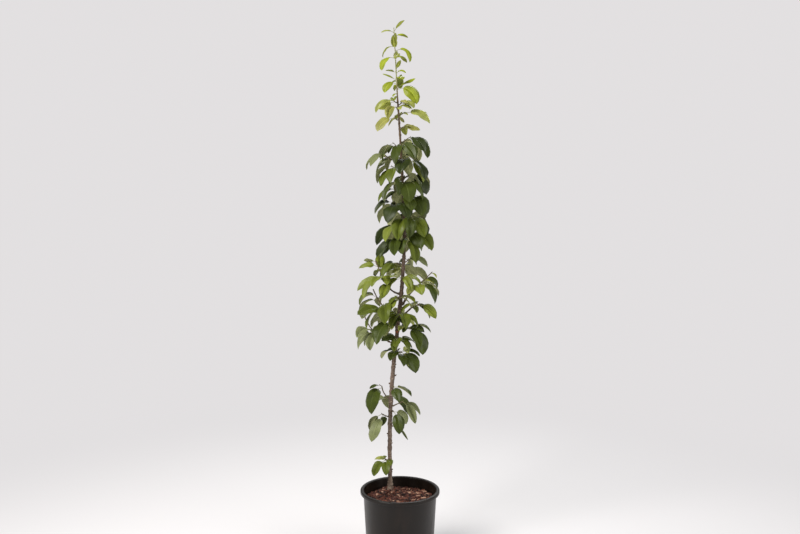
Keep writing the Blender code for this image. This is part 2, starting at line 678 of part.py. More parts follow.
def welded(mesh):
    """A mesh with its doubled points merged, in triangles that face outwards."""
    work = bmesh.new()
    work.from_mesh(mesh)
    bmesh.ops.remove_doubles(work, verts=work.verts, dist=WELD)
    bmesh.ops.triangulate(work, faces=work.faces)
    bmesh.ops.recalc_face_normals(work, faces=work.faces)
    work.to_mesh(mesh)
    work.free()
    return mesh


def leaf_mesh(name, leaf):
    """A leaf's solid: a thin folded blade on a stalk."""
    mesh = bpy.data.meshes.new(name)
    points, faces = loft(*leaf_rings(leaf, BLADE_STATIONS))
    mesh.from_pydata(points, [], faces)
    return welded(mesh)


def flare_foot(mesh):
    """Presses the root flare's lobes into the foot of the trunk."""
    x, y, foot = TRUNK_LINE[0]
    for vertex in mesh.vertices:
        across = Vector((vertex.co.x - x, vertex.co.y - y))
        fade = math.exp((foot - vertex.co.z) / FLARE_FALL)
        wave = math.cos(FLARE_LOBES * math.atan2(across.y, across.x))
        across *= FLARE_LOBE_DEPTH * wave * fade
        vertex.co.x += across.x
        vertex.co.y += across.y


def keep_main_shell(mesh):
    """Leaves only the shell of the greatest volume, so no scrap or sealed hollow stays."""
    work = bmesh.new()
    work.from_mesh(mesh)
    left, shells = set(work.verts), []
    while left:
        shell, queue = set(), [left.pop()]
        while queue:
            vertex = queue.pop()
            shell.add(vertex)
            near = {edge.other_vert(vertex) for edge in vertex.link_edges} & left
            left -= near
            queue.extend(near)
        shells.append(shell)

    def volume(shell):
        total = 0.0
        for face in {face for vertex in shell for face in vertex.link_faces}:
            a, b, c = (vertex.co for vertex in face.verts[:3])
            total += a.dot(b.cross(c))
        return total

    main_shell = max(shells, key=volume)
    scraps = [vertex for shell in shells if shell is not main_shell for vertex in shell]
    bmesh.ops.delete(work, geom=scraps, context="VERTS")
    work.to_mesh(mesh)
    work.free()


def build_mass(mass, parts, tools, material):
    """One mass of foliage: its stem, twigs and leaves joined into a single solid."""
    group = new_collection("joined_to_stem")
    stem = new_object("stem", limb_mesh("stem", mass.stem, LIMB_FACETS), tools)
    for twig in mass.twigs:
        new_object("twig", limb_mesh("twig", twig, LIMB_FACETS), group)
    for leaf in mass.leaves:
        new_object("leaf", leaf_mesh("leaf", leaf), group)
    union = stem.modifiers.new("join", "BOOLEAN")
    union.operation = "UNION"
    union.operand_type = "COLLECTION"
    union.collection = group
    union.solver = "EXACT"
    graph = bpy.context.evaluated_depsgraph_get()
    mesh = bpy.data.meshes.new_from_object(stem.evaluated_get(graph))
    for piece in [stem, *group.objects]:
        bpy.data.objects.remove(piece)
    bpy.data.collections.remove(group)
    mesh = welded(mesh)
    keep_main_shell(mesh)
    mesh.name = mass.name
    return new_object(f"foliage_{mass.name}", mesh, parts, material)


def build():
    """Makes every part of the plant, parented to one empty at the pot's underside."""
    for obj in list(bpy.data.objects):
        bpy.data.objects.remove(obj)
    parts = new_collection("dwarf_apple_tree")
    tools = new_collection("tools")
    looks = {name: new_material(name) for name in LOOKS}
    made = [build_pot(parts, tools, looks["black_plastic"])]
    made.append(build_potting_mix(parts, tools, looks["bark_mulch"]))
    limbs, masses = grow_tree()
    for name, limb in limbs.items():
        mesh = limb_mesh(name, limb, TRUNK_FACETS)
        if name == "trunk":
            flare_foot(mesh)
        mesh.shade_smooth()
        made.append(new_object(name, mesh, parts, looks["bark"]))
    for mass in masses:
        made.append(build_mass(mass, parts, tools, looks[f"leaf_{mass.zone}"]))
    stand = new_object("plant", None, parts)
    for obj in made:
        obj.parent = stand


if __name__ == "__main__":
    build()
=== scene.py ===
# %% [markdown]
# # A dwarf apple tree in a nursery pot
#
# This lesson dresses a plain model of a young apple tree of column shape. The plain model holds the
# real sizes: a pot, its filling, a trunk, seven boughs and forty-eight masses of foliage. Here each
# of them gets a finer mesh in the same place, and a finish that is worked out by nodes.
#
# Lengths are in metres and angles in degrees. The pot stands on z = 0 with its axis on the Z axis.

# %% Load the plain model
import math
import random
from collections import namedtuple
from itertools import accumulate

import bpy
import numpy as np
from mathutils import Matrix, Vector, noise
from mathutils.bvhtree import BVHTree


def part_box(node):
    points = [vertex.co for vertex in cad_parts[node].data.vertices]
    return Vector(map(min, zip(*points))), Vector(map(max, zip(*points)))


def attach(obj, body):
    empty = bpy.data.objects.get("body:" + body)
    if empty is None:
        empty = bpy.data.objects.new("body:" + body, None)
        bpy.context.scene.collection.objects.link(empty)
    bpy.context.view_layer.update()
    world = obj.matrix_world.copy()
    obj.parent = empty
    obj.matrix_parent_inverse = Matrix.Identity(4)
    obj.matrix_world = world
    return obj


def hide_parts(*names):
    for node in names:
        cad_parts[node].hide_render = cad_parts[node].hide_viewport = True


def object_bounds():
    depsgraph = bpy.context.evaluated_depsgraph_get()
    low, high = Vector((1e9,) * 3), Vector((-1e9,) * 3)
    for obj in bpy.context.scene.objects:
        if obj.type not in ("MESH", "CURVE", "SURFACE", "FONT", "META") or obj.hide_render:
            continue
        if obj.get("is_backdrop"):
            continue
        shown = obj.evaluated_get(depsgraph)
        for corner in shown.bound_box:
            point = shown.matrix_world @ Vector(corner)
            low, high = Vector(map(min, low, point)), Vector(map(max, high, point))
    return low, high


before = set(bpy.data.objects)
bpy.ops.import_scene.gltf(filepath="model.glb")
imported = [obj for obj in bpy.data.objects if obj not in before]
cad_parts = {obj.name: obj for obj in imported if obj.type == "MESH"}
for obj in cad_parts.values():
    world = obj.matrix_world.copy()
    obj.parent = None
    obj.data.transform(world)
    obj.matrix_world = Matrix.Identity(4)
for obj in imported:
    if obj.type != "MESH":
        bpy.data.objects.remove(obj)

cad_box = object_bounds()
pot_low, pot_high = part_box("pot")
POT_HEIGHT = pot_high.z
RIM_RADIUS = (pot_high.x - pot_low.x) / 2
print(f"{len(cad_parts)} plain solids, {cad_box[1].z - cad_box[0].z:.3f} m tall")
print(f"pot {POT_HEIGHT:.3f} m tall, rim {2 * RIM_RADIUS:.3f} m across")

# %% [markdown]
# ## The camera
#
# A camera at the height of the tree's middle, with its axis level, draws upright things upright. The
# ellipse of the pot's rim tells how high above it the camera stands, and the rim's width how far off.

# %% Place the camera
CAMERA_HEIGHT = 0.954
CAMERA_DISTANCE = 2.040
LENS = 28.5

bpy.ops.object.select_all(action="DESELECT")
bpy.ops.object.camera_add(
    location=(0, -CAMERA_DISTANCE, CAMERA_HEIGHT), rotation=(math.radians(90), 0, 0))
camera = bpy.context.object
camera.data.lens = LENS
bpy.context.scene.camera = camera
print(f"camera {CAMERA_DISTANCE} m in front, {CAMERA_HEIGHT} m up, {LENS} mm lens")

# %% [markdown]
# ## Shader maths as plain expressions
#
# A finish is a graph of nodes, and a sum or a product in it takes a Math node each. A small class
# around an output lets Python's own operators add those nodes, so that a pattern reads as a formula.
# All other nodes come from one method, which sets a node up and plugs its inputs.
#
# Most patterns here are spots. They are told by their width in metres, the grain's value where they
# begin and where they are full, then the grain's detail and how each axis is stretched.


# %% A wire of a node graph
class Wire:
    """An output of a node that adds, subtracts and multiplies as a number does."""

    def __init__(self, finish, socket):
        self.finish = finish
        self.socket = socket

    def maths(self, operation, *values):
        return self.finish.add("ShaderNodeMath", {"operation": operation}, dict(enumerate(values)))

    def __add__(self, other):
        return self.maths("ADD", self, other)

    def __sub__(self, other):
        return self.maths("SUBTRACT", self, other)

    def __rsub__(self, other):
        return self.maths("SUBTRACT", other, self)

    def __mul__(self, other):
        return self.maths("MULTIPLY", self, other)

    def __abs__(self):
        return self.maths("ABSOLUTE", self)

    def fraction(self):
        return self.maths("FRACT", self)

    __radd__ = __add__
    __rmul__ = __mul__


print("operators ready: + - * abs() and fraction()")


# %% A finish and its nodes
class Finish:
    """A material whose Principled shader is fed by wires. Constants go on the shader itself."""

    def __init__(self, name, **constants):
        self.material = bpy.data.materials.new(name)
        self.material.use_nodes = True
        self.tree = self.material.node_tree
        self.shader = self.tree.nodes["Principled BSDF"]
        self.feed(**constants)

    def plug(self, socket, value):
        if isinstance(value, Wire):
            self.tree.links.new(value.socket, socket)
        elif socket.type == "RGBA":
            socket.default_value = (*value, 1.0)
        else:
            socket.default_value = value

    def add(self, kind, settings=None, inputs=None, output=0):
        node = self.tree.nodes.new(kind)
        for name, value in (settings or {}).items():
            setattr(node, name, value)
        for key, value in (inputs or {}).items():
            self.plug(node.inputs[key], value)
        return Wire(self, node.outputs[output])

    def feed(self, **inputs):
        for name, value in inputs.items():
            self.plug(self.shader.inputs[name.replace("_", " ")], value)
        return self

    def place(self, stretch=(1, 1, 1)):
        """Object coordinates in metres, with each axis stretched by its own factor."""
        point = self.add("ShaderNodeTexCoord", output="Object")
        return self.add("ShaderNodeMapping", None, {"Vector": point, "Scale": stretch})

    def grain(self, size, detail=2.0, stretch=(1, 1, 1)):
        """A soft random pattern from 0 to 1, with spots of about a size in metres."""
        inputs = {"Vector": self.place(stretch), "Scale": 1 / size, "Detail": detail}
        return self.add("ShaderNodeTexNoise", None, inputs)

    def ease(self, value, low, high):
        """0 where the value is at or below low, 1 at or above high, and smooth between them."""
        inputs = {"Value": value, "From Min": low, "From Max": high}
        return self.add("ShaderNodeMapRange", {"interpolation_type": "SMOOTHSTEP"}, inputs)

    def spots(self, size, low, high, detail=2.0, stretch=(1, 1, 1)):
        """Spots of a size in metres: 0 where the grain is below low, and 1 where it is above high."""
        return self.ease(self.grain(size, detail, stretch), low, high)

    def blend(self, first, second, share):
        """A colour between two colours."""
        inputs = {0: share, 6: first, 7: second}
        return self.add("ShaderNodeMix", {"data_type": "RGBA"}, inputs, output=2)

    def relief(self, height, depth):
        """A normal from a height between 0 and 1 that stands for a depth in metres."""
        return self.add("ShaderNodeBump", None, {"Height": height, "Distance": depth})

    def axis(self, vector, name):
        return self.add("ShaderNodeSeparateXYZ", None, {0: vector}, output=name)


def shaded(colour, factor, lift=0.0):
    """The same colour, darker or paler."""
    return tuple(factor * part + lift for part in colour)


print("half of white is", shaded((1, 1, 1), 0.5))

# %% [markdown]
# ## The stage
#
# The tree stands on a pale floor in soft, even light. The floor fades into the backdrop's own colour,
# so no line crosses the picture. The backdrop is a dome that only the camera sees, and the light comes
# from the world around it and from three large soft lamps.

# %% Floor and backdrop
FLOOR_RADIUS = 11.0
FLOOR_SIDES = 96
DOME_RADIUS = 10.0
DOME_RINGS = 24
FLOOR_COLOUR = (0.86, 0.85, 0.86)
BACKDROP_COLOUR = (0.765, 0.745, 0.752)
FADE_NEAR = 0.4
FADE_FAR = 2.6

bpy.ops.mesh.primitive_circle_add(vertices=FLOOR_SIDES, radius=FLOOR_RADIUS, fill_type="NGON")
floor = bpy.context.object
floor.name = "floor"
paper = Finish("floor_paper", Base_Color=FLOOR_COLOUR, Roughness=0.9)
point = paper.place()
distance = paper.add("ShaderNodeVectorMath", {"operation": "LENGTH"}, {0: point}, output="Value")
glow = paper.add("ShaderNodeEmission", None, {"Color": BACKDROP_COLOUR}, output="Emission")
shader_out = Wire(paper, paper.shader.outputs[0])
faded = paper.add("ShaderNodeMixShader", None, {
    0: paper.ease(distance, FADE_NEAR, FADE_FAR), 1: shader_out, 2: glow})
paper.plug(paper.tree.nodes["Material Output"].inputs["Surface"], faded)
floor.data.materials.append(paper.material)
floor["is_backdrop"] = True

bpy.ops.mesh.primitive_uv_sphere_add(
    segments=2 * DOME_RINGS, ring_count=DOME_RINGS, radius=DOME_RADIUS)
dome = bpy.context.object
dome.name = "backdrop"
shine = Finish("backdrop_glow")
glow = shine.add("ShaderNodeEmission", None, {"Color": BACKDROP_COLOUR}, output="Emission")
shine.plug(shine.tree.nodes["Material Output"].inputs["Surface"], glow)
dome.data.materials.append(shine.material)
for ray in ("visible_diffuse", "visible_glossy", "visible_transmission", "visible_shadow"):
    setattr(dome, ray, False)
dome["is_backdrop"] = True
print(f"floor {FLOOR_RADIUS} m and dome {DOME_RADIUS} m in radius")

# %% Soft lamps
# Each lamp's place, width, power in watts and tint
LAMPS = {
    "key_lamp": ((-1.9, -1.7, 2.7), 1.5, 100.0, (1.0, 0.965, 0.93)),
    "fill_lamp": ((2.3, -1.3, 1.5), 1.4, 26.0, (1.0, 0.985, 0.97)),
    "back_lamp": ((0.6, 2.4, 2.9), 1.8, 38.0, (1.0, 1.0, 1.0)),
}
LAMP_TARGET = Vector((0, 0, 0.95))
WORLD_STRENGTH = 0.42

for name, (spot, size, power, tint) in LAMPS.items():
    bpy.ops.object.light_add(type="AREA", location=spot)
    lamp = bpy.context.object
    lamp.name = name
    lamp.data.size = size
    lamp.data.energy = power
    lamp.data.color = tint
    lamp.visible_camera = False
    lamp.rotation_euler = (LAMP_TARGET - Vector(spot)).to_track_quat("-Z", "Y").to_euler()

world = bpy.data.worlds.new("soft_room")
world.use_nodes = True
world.node_tree.nodes["Background"].inputs["Color"].default_value = (1.0, 1.0, 1.0, 1.0)
world.node_tree.nodes["Background"].inputs["Strength"].default_value = WORLD_STRENGTH
bpy.context.scene.world = world
bpy.context.scene.view_settings.view_transform = "Standard"
print(f"{len(LAMPS)} lamps and the room's light")

# %% [markdown]
# ## The pot
#
# A nursery pot is blown from black plastic: a thin tapering wall, a lip that is rolled outwards for
# stiffness, and a flat foot with drain holes. Such a shape is round about one axis, so its profile is
# drawn once, point by point, and spun. The holes are cut afterwards by a ring of cylinders.


# %% Choose, apply and finish
def select_only(*objects):
    """Deselects everything else, and makes the first of these the active one."""
    bpy.ops.object.select_all(action="DESELECT")
    for obj in objects:
        obj.select_set(True)
    bpy.context.view_layer.objects.active = objects[0]


def apply_modifiers(obj):
    select_only(obj)
    for modifier in list(obj.modifiers):
        bpy.ops.object.modifier_apply(modifier=modifier.name)


def finished(obj, finish, slot, *nodes):
    """Gives a piece its finish, lets it ride, and has it stand for its plain solids."""
    if finish:
        obj.data.materials.clear()
        obj.data.materials.append(finish.material)
    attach(obj, "root")
    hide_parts(*nodes)
    obj.data.calc_loop_triangles()
    print(f"{obj.name}: {len(obj.data.loop_triangles)} triangles, for {len(nodes)} plain solids")


print("helpers ready: select_only, apply_modifiers and finished")

# %% Spin a profile
FIRST_PLANE = 0.001
MERGE_WITHIN = 0.00001


def spun(name, profile, steps):
    """A solid turned about the Z axis from a profile of (radius, height) that is extruded by hand."""
    bpy.ops.object.select_all(action="DESELECT")
    bpy.ops.mesh.primitive_plane_add(size=FIRST_PLANE)
    obj = bpy.context.object
    obj.name = name
    bpy.ops.object.mode_set(mode="EDIT")
    bpy.ops.mesh.merge(type="CENTER")
    bpy.ops.transform.translate(value=(profile[0][0], 0, profile[0][1]))
    for (r, z), (next_r, next_z) in zip(profile, profile[1:]):
        step = (next_r - r, 0, next_z - z)
        bpy.ops.mesh.extrude_region_move(TRANSFORM_OT_translate={"value": step})
    bpy.ops.mesh.select_all(action="SELECT")
    bpy.ops.mesh.spin(steps=steps, angle=2 * math.pi, center=(0, 0, 0), axis=(0, 0, 1))
    bpy.ops.mesh.select_all(action="SELECT")
    bpy.ops.mesh.remove_doubles(threshold=MERGE_WITHIN)
    bpy.ops.mesh.normals_make_consistent(inside=False)
    bpy.ops.object.mode_set(mode="OBJECT")
    return obj


def arc(centre, radius, start, end, steps=8):
    """Points of a rounded corner in a profile, from one angle to the other, in degrees."""
    points = []
    for k in range(steps + 1):
        angle = math.radians(start + (end - start) * k / steps)
        points.append((centre[0] + radius * math.cos(angle), centre[1] + radius * math.sin(angle)))
    return points


print("a quarter turn of 1 m:", [round(x, 2) for x, _ in arc((0, 0), 1, 0, 90)])

# %% The pot's sizes
BODY_TOP_RADIUS = 0.1180
BASE_RADIUS = 0.1040
POT_WALL = 0.0018
POT_FLOOR = 0.0030
LIP_HEIGHT = 0.0105
LIP_ROUND = 0.0035
BASE_ROUND = 0.0040
FOOT_RING = 0.068
FOOT_RECESS = 0.0012
POT_STEPS = 96


def wall_radius(height):
    """Outer radius of the pot's straight, tapering body at a height."""
    return BASE_RADIUS + (BODY_TOP_RADIUS - BASE_RADIUS) * height / POT_HEIGHT


print(f"wall {1000 * POT_WALL:.1f} mm thick, from {BASE_RADIUS} to {BODY_TOP_RADIUS} m in radius")

# %% Spin the pot
lip_top = POT_HEIGHT - LIP_ROUND
lip_foot = POT_HEIGHT - LIP_HEIGHT
inner_top = wall_radius(POT_HEIGHT) - POT_WALL
outer_lip = RIM_RADIUS - LIP_ROUND
lip_under = LIP_ROUND / 2
profile = [(0.0, POT_FLOOR), (wall_radius(POT_FLOOR) - POT_WALL - BASE_ROUND, POT_FLOOR)]
profile += arc((profile[-1][0], POT_FLOOR + BASE_ROUND), BASE_ROUND, -90, 0)[1:]
profile += arc((inner_top + LIP_ROUND, lip_top), LIP_ROUND, 180, 90)
profile += arc((outer_lip, lip_top), LIP_ROUND, 90, 0)
profile += arc((RIM_RADIUS - lip_under, lip_foot + lip_under), lip_under, 0, -90)
profile.append((wall_radius(lip_foot) + lip_under, lip_foot))
profile += arc((wall_radius(lip_foot) + lip_under, lip_foot - lip_under), lip_under, 90, 180, steps=4)[1:]
profile += arc((wall_radius(BASE_ROUND) - BASE_ROUND, BASE_ROUND), BASE_ROUND, 0, -90)
profile += [(FOOT_RING, 0.0), (FOOT_RING - FOOT_RECESS, FOOT_RECESS), (0.0, FOOT_RECESS)]
pot = spun("pot_shell", profile, POT_STEPS)
print(f"profile of {len(profile)} points, {len(pot.data.polygons)} faces")

# %% Cut the drain holes
DRAIN_COUNT = 8
DRAIN_RADIUS = 0.0065
DRAIN_RING_RADIUS = 0.0840
DRAIN_SIDES = 24
POT_CREASE = 35.0

drills = []
for k in range(DRAIN_COUNT):
    turn = 2 * math.pi * k / DRAIN_COUNT
    spot = (DRAIN_RING_RADIUS * math.cos(turn), DRAIN_RING_RADIUS * math.sin(turn), POT_FLOOR / 2)
    bpy.ops.mesh.primitive_cylinder_add(
        vertices=DRAIN_SIDES, radius=DRAIN_RADIUS, depth=3 * POT_FLOOR, location=spot)
    drills.append(bpy.context.object)
select_only(*drills)
bpy.ops.object.join()
drill = bpy.context.object
cut = pot.modifiers.new("drain_holes", "BOOLEAN")
cut.operation = "DIFFERENCE"
cut.solver = "EXACT"
cut.object = drill
apply_modifiers(pot)
bpy.data.objects.remove(drill)
select_only(pot)
bpy.ops.object.shade_smooth_by_angle(angle=math.radians(POT_CREASE))
print(f"{DRAIN_COUNT} holes, {len(pot.data.polygons)} faces")

# %% [markdown]
# ### Black plastic
#
# Blown plastic is black all through and satin, with a faint orange-peel skin. Handling and splashes of
# the potting mix leave it a little dusty, in faint upright streaks and small spots. The finish mixes a
# dust colour in by noise, and makes the dusty places rougher.

# %% Finish the pot
PLASTIC = (0.0062, 0.0038, 0.0024)
PLASTIC_DUST = (0.020, 0.012, 0.008)
STREAKS = (0.035, 0.42, 0.78, 4.0, (1, 1, 0.35))
SPLASHES = (0.004, 0.62, 0.75, 3.0)
STREAK_DUST = 0.55
SPLASH_DUST = 0.12
PEEL_WIDTH = 0.0025
PEEL_SHARE = 0.5
WAVE_WIDTH = 0.020
PEEL_DEPTH = 0.00035
# Roughness of the clean plastic, and what full dust adds
PLASTIC_ROUGH = (0.34, 0.30)

plastic = Finish("black_plastic", Specular_IOR_Level=0.29)
dust = plastic.spots(*STREAKS) * STREAK_DUST + plastic.spots(*SPLASHES) * SPLASH_DUST
peel = plastic.grain(PEEL_WIDTH, 1.0) * PEEL_SHARE + plastic.grain(WAVE_WIDTH)
plastic.feed(
    Base_Color=plastic.blend(PLASTIC, PLASTIC_DUST, dust),
    Roughness=PLASTIC_ROUGH[0] + dust * PLASTIC_ROUGH[1],
    Normal=plastic.relief(peel, PEEL_DEPTH))
finished(pot, plastic, "black_plastic", "pot")

# %% [markdown]
# ## The potting mix
#
# The pot is filled with composted bark. Its top is a bed of crumbs with chips on it, heaped a little
# round the trunk. The bed is spun as a fine net and raised by noise. Each chip is a copy of one of
# four beaten blanks, made longer or shorter, and dealt out over the bed in one of four shades.

# %% The bed
GAP = 0.0003
FILL_LEVEL = 0.207
MOUND_HEIGHT = 0.012
MOUND_FOOT_RADIUS = 0.045
MOUND_TOP_RADIUS = 0.018
SOIL_TOP = FILL_LEVEL + MOUND_HEIGHT
TRUNK_FOOT = Vector((-0.0325, 0.0580, SOIL_TOP + GAP))
BED_NET = 0.003
BED_SINK = 0.0015
# Height of the lumps and of the crumbs, and how many fit in a metre
LUMPS = (0.0032, 45)
CRUMBS = (0.0012, 260)


def bed_height(x, y):
    """Height of the bed: level, with a smooth heap at the trunk, and lumps and crumbs all over."""
    away = math.hypot(x - TRUNK_FOOT.x, y - TRUNK_FOOT.y)
    share = (MOUND_FOOT_RADIUS - away) / (MOUND_FOOT_RADIUS - MOUND_TOP_RADIUS)
    share = min(1.0, max(0.0, share))
    heap = MOUND_HEIGHT * share * share * (3 - 2 * share)
    lump, crumb = (tall * noise.noise(Vector((x, y, 0)) * dense) for tall, dense in (LUMPS, CRUMBS))
    return FILL_LEVEL - BED_SINK + heap + lump + crumb


bed_radius = wall_radius(FILL_LEVEL) - POT_WALL - GAP
foot_radius = wall_radius(POT_FLOOR) - POT_WALL - BASE_ROUND
rings = round(bed_radius / BED_NET)
profile = [(bed_radius * k / rings, FILL_LEVEL) for k in range(rings + 1)]
profile += [(foot_radius, POT_FLOOR + GAP), (0.0, POT_FLOOR + GAP)]
bed = spun("potting_bed", profile, POT_STEPS)
for vertex in bed.data.vertices:
    if vertex.co.z > FILL_LEVEL - GAP:
        vertex.co.z = bed_height(vertex.co.x, vertex.co.y)
bed.data.update()
select_only(bed)
bpy.ops.object.shade_smooth()
print(f"bed {2 * bed_radius:.3f} m across, {len(bed.data.polygons)} faces")

# %% Finish the bed
CRUMB_DARK = (0.020, 0.010, 0.007)
CRUMB_BROWN = (0.075, 0.030, 0.018)
CRUMB_SPOTS = (0.0035, 0.35, 0.70, 3.0)
CRUMB_WIDTH = 0.0012
CRUMB_DEPTH = 0.0010

crumbs = Finish("bark_crumbs", Roughness=0.95)
crumbs.feed(
    Base_Color=crumbs.blend(CRUMB_DARK, CRUMB_BROWN, crumbs.spots(*CRUMB_SPOTS)),
    Normal=crumbs.relief(crumbs.grain(CRUMB_WIDTH, 4.0), CRUMB_DEPTH))
finished(bed, crumbs, "bark_mulch", "potting_mix")

# %% Chip blanks
BLANK_SIDES = (5, 6, 7, 6)
BLANK_RADIUS = 0.5
BLANK_DEPTH = 0.32
BLANK_SQUEEZE = (1.0, 0.46, 0.62)
BLANK_BEVEL = 0.04
BLANK_BEATEN = 0.10


def chip_blank(sides, seed):
    """A flat chip one unit long: a short cylinder, squeezed, bevelled and beaten out of true."""
    bpy.ops.object.select_all(action="DESELECT")
    bpy.ops.mesh.primitive_cylinder_add(vertices=sides, radius=BLANK_RADIUS, depth=BLANK_DEPTH)
    obj = bpy.context.object
    bpy.ops.object.mode_set(mode="EDIT")
    bpy.ops.mesh.select_all(action="SELECT")
    bpy.ops.transform.resize(value=BLANK_SQUEEZE)
    bpy.ops.mesh.bevel(offset=BLANK_BEVEL, segments=1, affect="EDGES")
    bpy.ops.transform.vertex_random(offset=BLANK_BEATEN, seed=seed)
    bpy.ops.mesh.quads_convert_to_tris()
    bpy.ops.mesh.normals_make_consistent(inside=False)
    bpy.ops.object.mode_set(mode="OBJECT")
    points = np.array([vertex.co[:] for vertex in obj.data.vertices])
    faces = np.array([face.vertices[:] for face in obj.data.polygons])
    bpy.data.objects.remove(obj)
    return points, faces


blanks = [chip_blank(sides, seed) for seed, sides in enumerate(BLANK_SIDES)]
print("blanks of", [len(faces) for _, faces in blanks], "faces")

# %% Shades of chip
# Name, colour and share of each
CHIP_SHADES = (
    ("chip_dark", (0.026, 0.008, 0.005), 34),
    ("chip_red", (0.110, 0.029, 0.016), 38),
    ("chip_brown", (0.205, 0.070, 0.038), 18),
    ("chip_pale", (0.480, 0.275, 0.185), 10),
)
CHIP_DARK = 0.45
CHIP_SPOTS = (0.002, 0.30, 0.62, 3.0)
CHIP_GRAIN = 0.0008
CHIP_DEPTH = 0.0004


def chip_finish(name, colour):
    """A shade of bark chip, broken up by darker spots."""
    finish = Finish(name, Roughness=0.88)
    finish.feed(
        Base_Color=finish.blend(shaded(colour, CHIP_DARK), colour, finish.spots(*CHIP_SPOTS)),
        Normal=finish.relief(finish.grain(CHIP_GRAIN, 3.0), CHIP_DEPTH))
    return finish.material


print(", ".join(name for name, *_ in CHIP_SHADES))

# %% Deal out the chips
CHIP_SEED = 5
CHIP_COUNT = 1900
CHIP_LENGTH = (0.0050, 0.0190)
CHIP_SKEW = 1.6
CHIP_TILT = 32.0
CHIP_LIFT = (0.02, 0.16)
CHIP_MARGIN = 0.003

dealer = random.Random(CHIP_SEED)
points, faces, shades = [], [], []
count = 0
for _ in range(CHIP_COUNT):
    reach = (bed_radius - CHIP_MARGIN) * math.sqrt(dealer.random())
    turn = dealer.uniform(0, 2 * math.pi)
    x, y = reach * math.cos(turn), reach * math.sin(turn)
    length = CHIP_LENGTH[0] + (CHIP_LENGTH[1] - CHIP_LENGTH[0]) * dealer.random() ** CHIP_SKEW
    tilt = math.radians(dealer.gauss(0, CHIP_TILT))
    pose = Matrix.Rotation(dealer.uniform(0, 2 * math.pi), 3, "Z") @ Matrix.Rotation(tilt, 3, "X")
    shape, skin = blanks[dealer.randrange(len(blanks))]
    spot = np.array((x, y, bed_height(x, y) + length * dealer.uniform(*CHIP_LIFT)))
    placed = shape @ (np.array(pose).T * length) + spot
    over = max(0.0, np.hypot(placed[:, 0], placed[:, 1]).max() - bed_radius)
    placed[:, :2] -= np.array((x, y)) * (over / reach)
    points.append(placed)
    faces.append(skin + count)
    shades += dealer.choices(range(len(CHIP_SHADES)), [share for *_, share in CHIP_SHADES]) * len(skin)
    count += len(shape)

mesh = bpy.data.meshes.new("bark_chips")
mesh.from_pydata(np.concatenate(points).tolist(), [], np.concatenate(faces).tolist())
for name, colour, _ in CHIP_SHADES:
    mesh.materials.append(chip_finish(name, colour))
mesh.polygons.foreach_set("material_index", shades)
chips = bpy.data.objects.new("bark_chips", mesh)
bpy.context.collection.objects.link(chips)
finished(chips, None, "bark_mulch")

# %% [markdown]
# ## How the tree grows
#
# The plain model's limbs and masses come from one seeded rule, and the same rule runs again here, so
# that every fine leaf hangs where its plain one does. A trunk follows a smooth curve. Spurs sit on the
# trunk or on the tip of a bough, and carry leaves, some on short side twigs. A leaf is turned and
# shortened until it clears its neighbours, or it is left out.

# %% The trunk's line and girth
# Points of the centre line, and the radius at some heights
TRUNK_LINE = (
    (-0.0325, 0.0580, SOIL_TOP + GAP),
    (-0.0338, 0.0520, 0.360),
    (-0.0308, 0.0455, 0.500),
    (-0.0205, 0.0380, 0.640),
    (-0.0060, 0.0300, 0.770),
    (0.0065, 0.0215, 0.896),
    (0.0145, 0.0130, 1.040),
    (0.0115, 0.0060, 1.160),
    (0.0005, 0.0010, 1.370),
    (-0.0075, 0.0000, 1.490),
)
TRUNK_GIRTH = ((0.219, 0.0070), (0.850, 0.0064), (1.080, 0.0048), (1.370, 0.0037), (1.490, 0.0028))
print(f"trunk from {TRUNK_LINE[0][2]:.3f} to {TRUNK_LINE[-1][2]:.3f} m")

# %% Habits of the leaves
# Leaves of each zone: blade length, rise of the stalk and of the tip, how early the leaf arches,
# spread of the roll, reach from the trunk's line, and whether long stems carry side twigs
Habit = namedtuple("Habit", "length lift droop curl roll reach twigs")
HABITS = {
    "foot": Habit(0.056, 40.0, -62.0, 0.7, 20.0, 0.080, True),
    "lower": Habit(0.074, 25.0, -80.0, 0.6, 25.0, 0.112, True),
    "middle": Habit(0.070, 28.0, -76.0, 0.7, 30.0, 0.155, True),
    "upper": Habit(0.079, 28.0, -86.0, 0.55, 34.0, 0.093, True),
    "crest": Habit(0.056, 35.0, -55.0, 0.7, 15.0, 0.105, True),
    "leader": Habit(0.050, 40.0, -60.0, 0.65, 12.0, 0.080, False),
}
print("zones:", ", ".join(HABITS))

# %% Boughs
# Place on the trunk, length, rise at the foot and at the tip, turn in plan, radius at both ends
Bough = namedtuple("Bough", "name height heading length rise turn radius")
BOUGHS = (
    Bough("bough_right_high", 0.834, 350, 0.060, (62, 45), 10, (0.0036, 0.0029)),
    Bough("bough_right_low", 0.794, 10, 0.038, (36, 44), -10, (0.0030, 0.0025)),
    Bough("bough_left_high", 0.866, 172, 0.036, (12, 50), 0, (0.0029, 0.0024)),
    Bough("bough_left_middle", 0.785, 195, 0.052, (35, 50), -8, (0.0031, 0.0026)),
    Bough("bough_left_low", 0.703, 178, 0.050, (20, 34), 0, (0.0027, 0.0022)),
    Bough("bough_back_high", 0.890, 75, 0.040, (40, 55), 15, (0.0030, 0.0025)),
    Bough("bough_back_low", 0.745, 105, 0.040, (30, 50), -15, (0.0030, 0.0025)),
)
print(f"{len(BOUGHS)} boughs")

